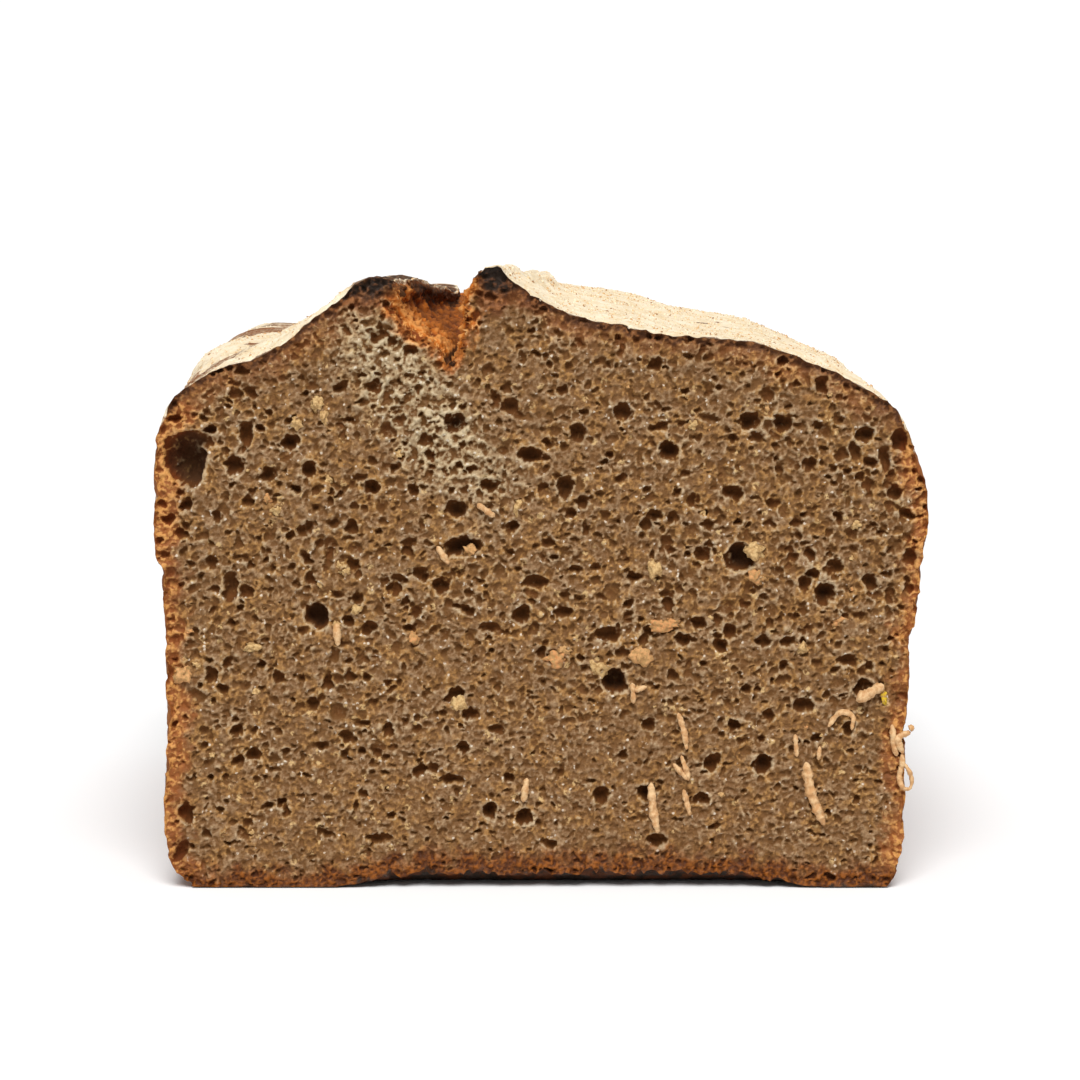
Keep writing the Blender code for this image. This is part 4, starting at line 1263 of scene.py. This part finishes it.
def edge_tones(paint, colour, raised, hollow, broad):
    """The browned, torn and burnt crumb along each kind of crust, each band darker in the crumb's hollows
    and lighter where it is raised, as painted shade and painted highlight.
    """
    # Painted shade in the hollows and painted highlight on the raised crumb
    crusty = paint.mix(paint.ramp(hollow, 0.2, 0.8), CRUST_MID, CRUST_PIT_SHADE)
    crusty = paint.mix(paint.ramp(raised, 0.5, 0.85), crusty, CRUST_RIDGE_HIGHLIGHT)
    crusty = paint.over(crusty, CRUST_DARK, paint.ramp(broad, 0.45, 0.65), 0.65)
    golden = paint.ramp(paint.noise(0.0013, 3.0), 0.5, 0.62)
    crusty = paint.over(crusty, OUTER, paint.value("outer"), golden, paint.ramp(hollow, 0.8, 0.3))
    under = paint.math("MULTIPLY", paint.value("under"), 0.5)
    colour = paint.mix(paint.math("MAXIMUM", paint.value("side"), under), colour, crusty)
    # Painted shade and painted highlight here and in the bands below: darker in the crumb's hollows, lighter
    # where it is raised
    toasted = paint.mix(paint.ramp(raised, 0.4, 0.9), CRUST_DARK, CRUST_MID)
    colour = paint.over(colour, toasted, paint.value("browned"), 0.8)
    lower = paint.mix(paint.ramp(raised, 0.3, 0.85), BASE_DARK, BASE_LIGHT)
    colour = paint.mix(paint.value("bottom"), colour, lower)
    ember = paint.mix(paint.ramp(raised, 0.25, 0.6), TORN_DARK, TORN_MID)
    ember = paint.mix(paint.ramp(raised, 0.58, 0.9), ember, TORN_LIGHT)
    colour = paint.over(colour, ember, paint.value("split"), 0.75)
    band = paint.mix(paint.ramp(raised, 0.45, 0.9), RIND_DARK, RIND_LIGHT)
    colour = paint.over(colour, band, paint.value("rind"), 0.85)
    # Along the base the charred line is partly burnt crust and partly painted shade of the gap under the
    # base
    charred = paint.mix(paint.ramp(raised, 0.5, 0.9), BURNT, SCORCHED)
    return paint.mix(paint.math("MAXIMUM", paint.value("scorch"), paint.value("charred")), colour, charred)


def crumb_material():
    """Moist grey-brown rye crumb: walls lighter where raised and pores darker with depth, as painted
    highlight and painted shade, and browned edges.
    """
    paint = Paint("rye_crumb")
    fine = paint.noise(0.0006, 3.0, 0.6)
    grit = paint.noise(0.00028, 2.0, 0.6)
    broad = paint.noise(0.011, 3.0, 0.55)
    hollow = paint.value("hollow")
    raised = paint.stir(paint.stir(paint.value("proud"), fine, 0.8), paint.noise(0.0019, 3.0, 0.6), 0.7)
    colour = crumb_tones(paint, raised, hollow, fine, grit, broad)
    colour = dry_tones(paint, colour, raised)
    colour = edge_tones(paint, colour, raised, hollow, broad)
    # Painted shade: near black in the deepest pores
    colour = paint.over(colour, DEEP_SHADE, paint.value("deep"), 0.6)
    rough = paint.math("MULTIPLY_ADD", hollow, 0.35, paint.math("MULTIPLY_ADD", fine, 0.3, 0.38))
    paint.bump(0.8, 0.0004, (fine, 0.7), (grit, 0.5))
    return paint.finish(colour, rough, 0.25)


def baked_tones(paint, fine, spot, relief):
    """The brown of the sides, darker in blotches and amber in the pits."""
    blotch = paint.noise(0.012, 6.0, 0.62)
    colour = paint.mix(paint.ramp(blotch, 0.34, 0.7), SIDE_MID, SIDE_DARK)
    colour = paint.over(colour, SIDE_LIGHT, paint.ramp(spot, 0.46, 0.72), 0.55)
    colour = paint.over(colour, AMBER, paint.ramp(relief, -0.12, -0.5), 0.75)
    return paint.over(colour, SIDE_DARK, paint.ramp(fine, 0.5, 0.7), 0.3)


def floured_tones(paint, colour, fine, grit, spot):
    """Flour with tan specks, which thins out in grains."""
    powder = paint.mix(paint.ramp(spot, 0.3, 0.66), FLOUR_SHADE, FLOUR)
    powder = paint.over(powder, SPECK, paint.ramp(grit, 0.58, 0.72), 0.45)
    thick = paint.math("MULTIPLY_ADD", paint.value("dust"), 0.28, paint.value("flour"))
    thick = paint.stir(paint.stir(thick, fine, 1.1), grit, 0.7)
    return paint.mix(paint.ramp(thick, 0.32, 0.72), colour, powder)


def torn_tones(paint, colour, fine, spot, relief):
    """The torn cleft: orange-brown with pale threads near the cut, darker inside, darker in its recesses and
    paler on its raised relief as painted shade and painted highlight.
    """
    lifted = paint.stir(relief, spot, 1.2)
    fresh = paint.value("fresh")
    # Painted shade in the torn relief's recesses, broken up by noise
    ember = paint.mix(paint.ramp(lifted, -0.35, 0.3), TORN_DARK, TORN_MID)
    inner = paint.ramp(paint.noise(0.005, 4.0, 0.6), 0.36, 0.58)
    ember = paint.over(ember, SCORCHED, paint.math("SUBTRACT", 1.0, fresh), inner, 0.55)
    # Painted highlight on the raised relief, beside the pale threads
    pale = paint.math("MULTIPLY", paint.ramp(lifted, 0.2, 0.6), 0.6)
    threads = paint.math("MULTIPLY", paint.ramp(fine, 0.5, 0.64), 0.8)
    ember = paint.over(ember, TORN_LIGHT, paint.math("MAXIMUM", threads, pale), fresh)
    return paint.mix(paint.value("torn"), colour, ember)


def burnt_tones(paint, colour, fine, grit, spot):
    """The burnt lips and the painted shade of the cleft's slot, broken up by brown and by grains of flour.
    """
    charred = paint.mix(paint.ramp(spot, 0.38, 0.62), BURNT, SCORCHED)
    charred = paint.over(charred, SIDE_MID, paint.ramp(fine, 0.5, 0.68), 0.6)
    charred = paint.over(charred, FLOUR_SHADE, paint.ramp(grit, 0.6, 0.7), paint.value("dust"), 0.3)
    scorched = paint.stir(paint.stir(paint.value("burnt"), grit, 0.8), spot, 0.8)
    return paint.over(colour, charred, paint.ramp(scorched, 0.2, 0.75), 0.95)


def crust_material():
    """Baked crust: orange-brown sides, floured top with specks, burnt lips and torn cleft."""
    paint = Paint("rye_crust")
    fine = paint.noise(0.0007, 3.0, 0.65)
    grit = paint.noise(0.0004, 2.0, 0.6)
    spot = paint.noise(0.0028, 5.0, 0.62)
    relief = paint.value("relief")
    colour = baked_tones(paint, fine, spot, relief)
    colour = floured_tones(paint, colour, fine, grit, spot)
    colour = torn_tones(paint, colour, fine, spot, relief)
    under = paint.mix(paint.ramp(spot, 0.45, 0.6), BURNT, BASE_DARK)
    colour = paint.mix(paint.value("base"), colour, under)
    colour = burnt_tones(paint, colour, fine, grit, spot)
    rough = paint.math("MULTIPLY_ADD", fine, 0.25, 0.6)
    paint.bump(0.7, 0.0004, (fine, 0.8), (grit, 0.6))
    return paint.finish(colour, rough, 0.25)


def bran_material():
    """Pale lumps of flour and orange-brown flakes."""
    paint = Paint("bran")
    tone = paint.value("tone")
    fine = paint.noise(0.0003, 2.0)
    colour = paint.mix(paint.ramp(tone, 0.35, 0.5), FLOUR, FLOUR_SHADE)
    colour = paint.mix(paint.ramp(tone, 0.58, 0.88), colour, SPECK)
    colour = paint.mix(paint.ramp(tone, 0.93, 0.97), colour, SIDE_MID)
    colour = paint.over(colour, FLOUR_SHADE, fine, 0.3)
    paint.bump(0.4, 0.0002, (fine, 1.0))
    return paint.finish(colour, 0.85, 0.15)


def roll_material():
    """Pale dried crumbs."""
    paint = Paint("dried_crumb")
    fine = paint.noise(0.0008, 3.0, 0.6)
    colour = paint.mix(paint.ramp(fine, 0.35, 0.65), ROLL_DARK, ROLL_LIGHT)
    colour = paint.over(colour, SPECK, paint.ramp(paint.noise(0.004, 2.0), 0.5, 0.7), 0.4)
    paint.bump(0.6, 0.0002, (fine, 1.0))
    return paint.finish(colour, paint.math("MULTIPLY_ADD", fine, 0.3, 0.5), 0.3)


def lump_material():
    """Pale cream to orange-tan lumps of crumb, and the yellow speck."""
    paint = Paint("crumb_lump")
    fine = paint.noise(0.0005, 3.0, 0.6)
    tone = paint.value("tone")
    shade = paint.mix(paint.ramp(tone, 0.55, 0.95), KERNEL, LUMP_TAN)
    shade = paint.mix(paint.ramp(tone, 1.2, 1.8), shade, YELLOW)
    colour = paint.mix(paint.ramp(fine, 0.35, 0.62), LUMP_SHADE, shade)
    paint.bump(0.8, 0.0003, (fine, 1.0))
    return paint.finish(colour, paint.math("MULTIPLY_ADD", fine, 0.3, 0.5), 0.3)


def floor_material():
    """Plain white floor."""
    paint = Paint("white_floor")
    return paint.finish(paint.mix(paint.noise(0.4, 1.0), FLOOR_SHADE, FLOOR_LIGHT), 0.9, 0.1)


def roll_radius(width, share, length, draw):
    """The roll's uneven radius along its length, tapered at both ends."""
    taper = np.sqrt(np.clip(1.0 - np.abs(2 * share - 1) ** 7, 0.3, 1.0))
    taper[[0, -1]] = 0.05
    slow = np.sin(share * length * 1.9 + draw.uniform(0, 6))
    quick = np.sin(share * length * 4.3 + draw.uniform(0, 6))
    lumpy = 1.0 + 0.10 * slow + 0.08 * quick
    return width / 2 * taper * lumpy * (0.8 + 0.2 * np.sin(math.pi * share**0.8))


def roll_tube(width, knots, relief, origin, shift, draw):
    """One crumb roll: a lumpy tube that lies on the cut."""
    line = curve_through(np.array(knots, dtype=float) * (1.0, UPWARD) + (shift, 0.0))
    length = np.linalg.norm(np.diff(line, axis=0), axis=1).sum()
    middle = np.vstack((spread_evenly(line, max(int(length / ROLL_STEP), 6)), line[-1:]))
    radius = roll_radius(width, np.linspace(0.0, 1.0, len(middle)), length, draw)
    tangent = np.gradient(middle, axis=0)
    tangent /= np.linalg.norm(tangent, axis=1, keepdims=True)
    lift = -0.30 * width + 0.5 * np.minimum(sample(relief, origin, RASTER, *middle.T), 0.7)
    points = []
    for (x, z), (ahead, up), thick, lifted in zip(middle, tangent, radius, lift):
        for turn in range(ROLL_SIDES):
            angle = 2 * math.pi * turn / ROLL_SIDES
            out = thick * (1.0 + draw.uniform(-0.17, 0.17))
            across = out * math.cos(angle)
            points.append((x - up * across, lifted + out * math.sin(angle), z + ahead * across))
    turn = np.arange(ROLL_SIDES)
    after = (turn + 1) % ROLL_SIDES
    start = np.arange(len(middle) - 1)[:, None] * ROLL_SIDES
    corners = (start + turn, start + after, start + ROLL_SIDES + after, start + ROLL_SIDES + turn)
    return np.array(points), np.stack(corners, axis=2).reshape(-1, 4)


def build_rolls(relief, origin, shift):
    """All the crumb rolls as one piece."""
    draw = random.Random(ROLL_SEED)
    points = []
    quads = []
    total = 0
    for width, *knots in ROLLS:
        spots, faces = roll_tube(width, knots, relief, origin, shift, draw)
        points.append(spots)
        quads.append(faces + total)
        total += len(spots)
    points = np.vstack(points) * MM + (0.0, CUT, 0.0)
    build_piece("crumb_rolls", points, quads, {}, roll_material())


def lump_points(ball, centre, size, surface, draw):
    """One lump: a ball with a crumpled skin, sunk halfway into the cut."""
    offset = Vector((draw.uniform(0, 50), draw.uniform(0, 50), draw.uniform(0, 50)))
    turn = draw.uniform(0.0, math.pi)
    points = []
    for direction in ball:
        swollen = 1.0 + 0.9 * noise.noise(direction * 1.4 + offset)
        swollen += 0.5 * noise.noise(direction * 3.2 + offset) + 0.25 * noise.noise(direction * 7.0 + offset)
        across = direction.x * math.cos(turn) - direction.z * math.sin(turn)
        upward = direction.x * math.sin(turn) + direction.z * math.cos(turn)
        x = centre[0] + across * swollen * size[0] / 2
        z = centre[1] + upward * swollen * size[1] / 2
        points.append((x, surface + 0.1 + direction.y * swollen * min(size) * 0.4, z))
    return points


def lump_spots(relief, origin, loop, shift, draw):
    """Centre and size of every lump: those of the table, then small ones spread over the cut."""
    placed = [((x + shift, z * UPWARD), (w, h)) for x, z, w, h in (*LUMPS, YELLOW_SPECK)]
    spots = np.array([(draw.uniform(-57, 57), draw.uniform(3, 90)) for _ in range(2 * SMALL_LUMPS)])
    pushed = spots + (spots - (0.0, 45.0)) * 0.04
    kept = spots[is_inside(pushed, loop)][:SMALL_LUMPS]
    for x, z in kept[sample(relief, origin, RASTER, *kept.T) < 0.8]:
        width = 0.45 + 0.8 * draw.random() ** 2.0
        placed.append(((x, z), (width, width * draw.uniform(0.6, 1.0))))
    return placed


def build_lumps(relief, origin, loop, shift):
    """All the pale lumps as one piece."""
    draw = random.Random(LUMP_SEED)
    placed = lump_spots(relief, origin, loop, shift, draw)
    bm = bmesh.new()
    bmesh.ops.create_icosphere(bm, subdivisions=LUMP_FINENESS, radius=1.0)
    ball = [vertex.co.copy() for vertex in bm.verts]
    triangles = np.array([[vertex.index for vertex in face.verts] for face in bm.faces])
    bm.free()
    surfaces = sample(relief, origin, RASTER, *np.array([centre for centre, _ in placed]).T)
    points = []
    tones = []
    for (centre, size), surface in zip(placed, surfaces):
        points.extend(lump_points(ball, centre, size, min(surface, 1.2), draw))
        tone = YELLOW_TONE if size == YELLOW_SPECK[2:] else draw.random()
        tones.extend([tone] * len(ball))
    faces = [triangles + index * len(ball) for index in range(len(placed))]
    points = np.array(points) * MM + (0.0, CUT, 0.0)
    build_piece("crumb_lumps", points, faces, {"tone": np.array(tones)}, lump_material())


def build_floor():
    """The white floor under the loaf."""
    mesh = bpy.data.meshes.new("floor")
    bm = bmesh.new()
    bmesh.ops.create_grid(bm, x_segments=1, y_segments=1, size=FLOOR_REACH)
    bm.to_mesh(mesh)
    bm.free()
    mesh.materials.append(floor_material())
    floor = bpy.data.objects.new("floor", mesh)
    floor.location.z = -FLOOR_GAP
    bpy.context.scene.collection.objects.link(floor)


def build_lights():
    """An even white surround, brighter to the eye than as a light, and one soft sun."""
    world = bpy.data.worlds.new("studio")
    bpy.context.scene.world = world
    world.use_nodes = True
    background = world.node_tree.nodes["Background"]
    background.inputs["Color"].default_value = (1.0, 1.0, 1.0, 1.0)
    sight = world.node_tree.nodes.new("ShaderNodeLightPath")
    strength = world.node_tree.nodes.new("ShaderNodeMapRange")
    strength.inputs["To Min"].default_value = WORLD_LIGHT
    strength.inputs["To Max"].default_value = BACKDROP_LIGHT
    world.node_tree.links.new(sight.outputs["Is Camera Ray"], strength.inputs["Value"])
    world.node_tree.links.new(strength.outputs["Result"], background.inputs["Strength"])
    lamp = bpy.data.lights.new("soft_light", "SUN")
    lamp.energy = LAMP_POWER
    lamp.angle = LAMP_SOFTNESS
    light = bpy.data.objects.new("soft_light", lamp)
    light.rotation_euler = Vector(LAMP_WAY).to_track_quat("-Z", "Y").to_euler()
    bpy.context.scene.collection.objects.link(light)


def build_camera():
    """The camera at the photograph's angle."""
    data = bpy.data.cameras.new("camera")
    camera = bpy.data.objects.new("camera", data)
    camera.location = (0.0, CUT - CAMERA_DISTANCE, CAMERA_HEIGHT)
    sight = Vector((0.0, CUT, AIM_HEIGHT)) - camera.location
    camera.rotation_euler = sight.to_track_quat("-Z", "Y").to_euler()
    data.sensor_width = SENSOR
    data.lens = SENSOR * sight.length / VIEW_WIDTH
    bpy.context.scene.collection.objects.link(camera)
    bpy.context.scene.camera = camera


def build_loaf():
    """Every piece of the loaf."""
    rings, travel, shift = all_rings()
    crust = crust_material()
    skin = build_crust(rings, ring_normals(rings), travel, crust)
    build_heel(skin[-1], crust)
    loop = skin[0][:, [0, 2]] / MM
    relief, origin = build_crumb(loop, shift / MM, crumb_material())
    build_rolls(relief, origin, shift / MM)
    build_lumps(relief, origin, loop, shift / MM)


build_loaf()
build_floor()
build_lights()
build_camera()
bpy.context.scene.view_settings.view_transform = "Standard"
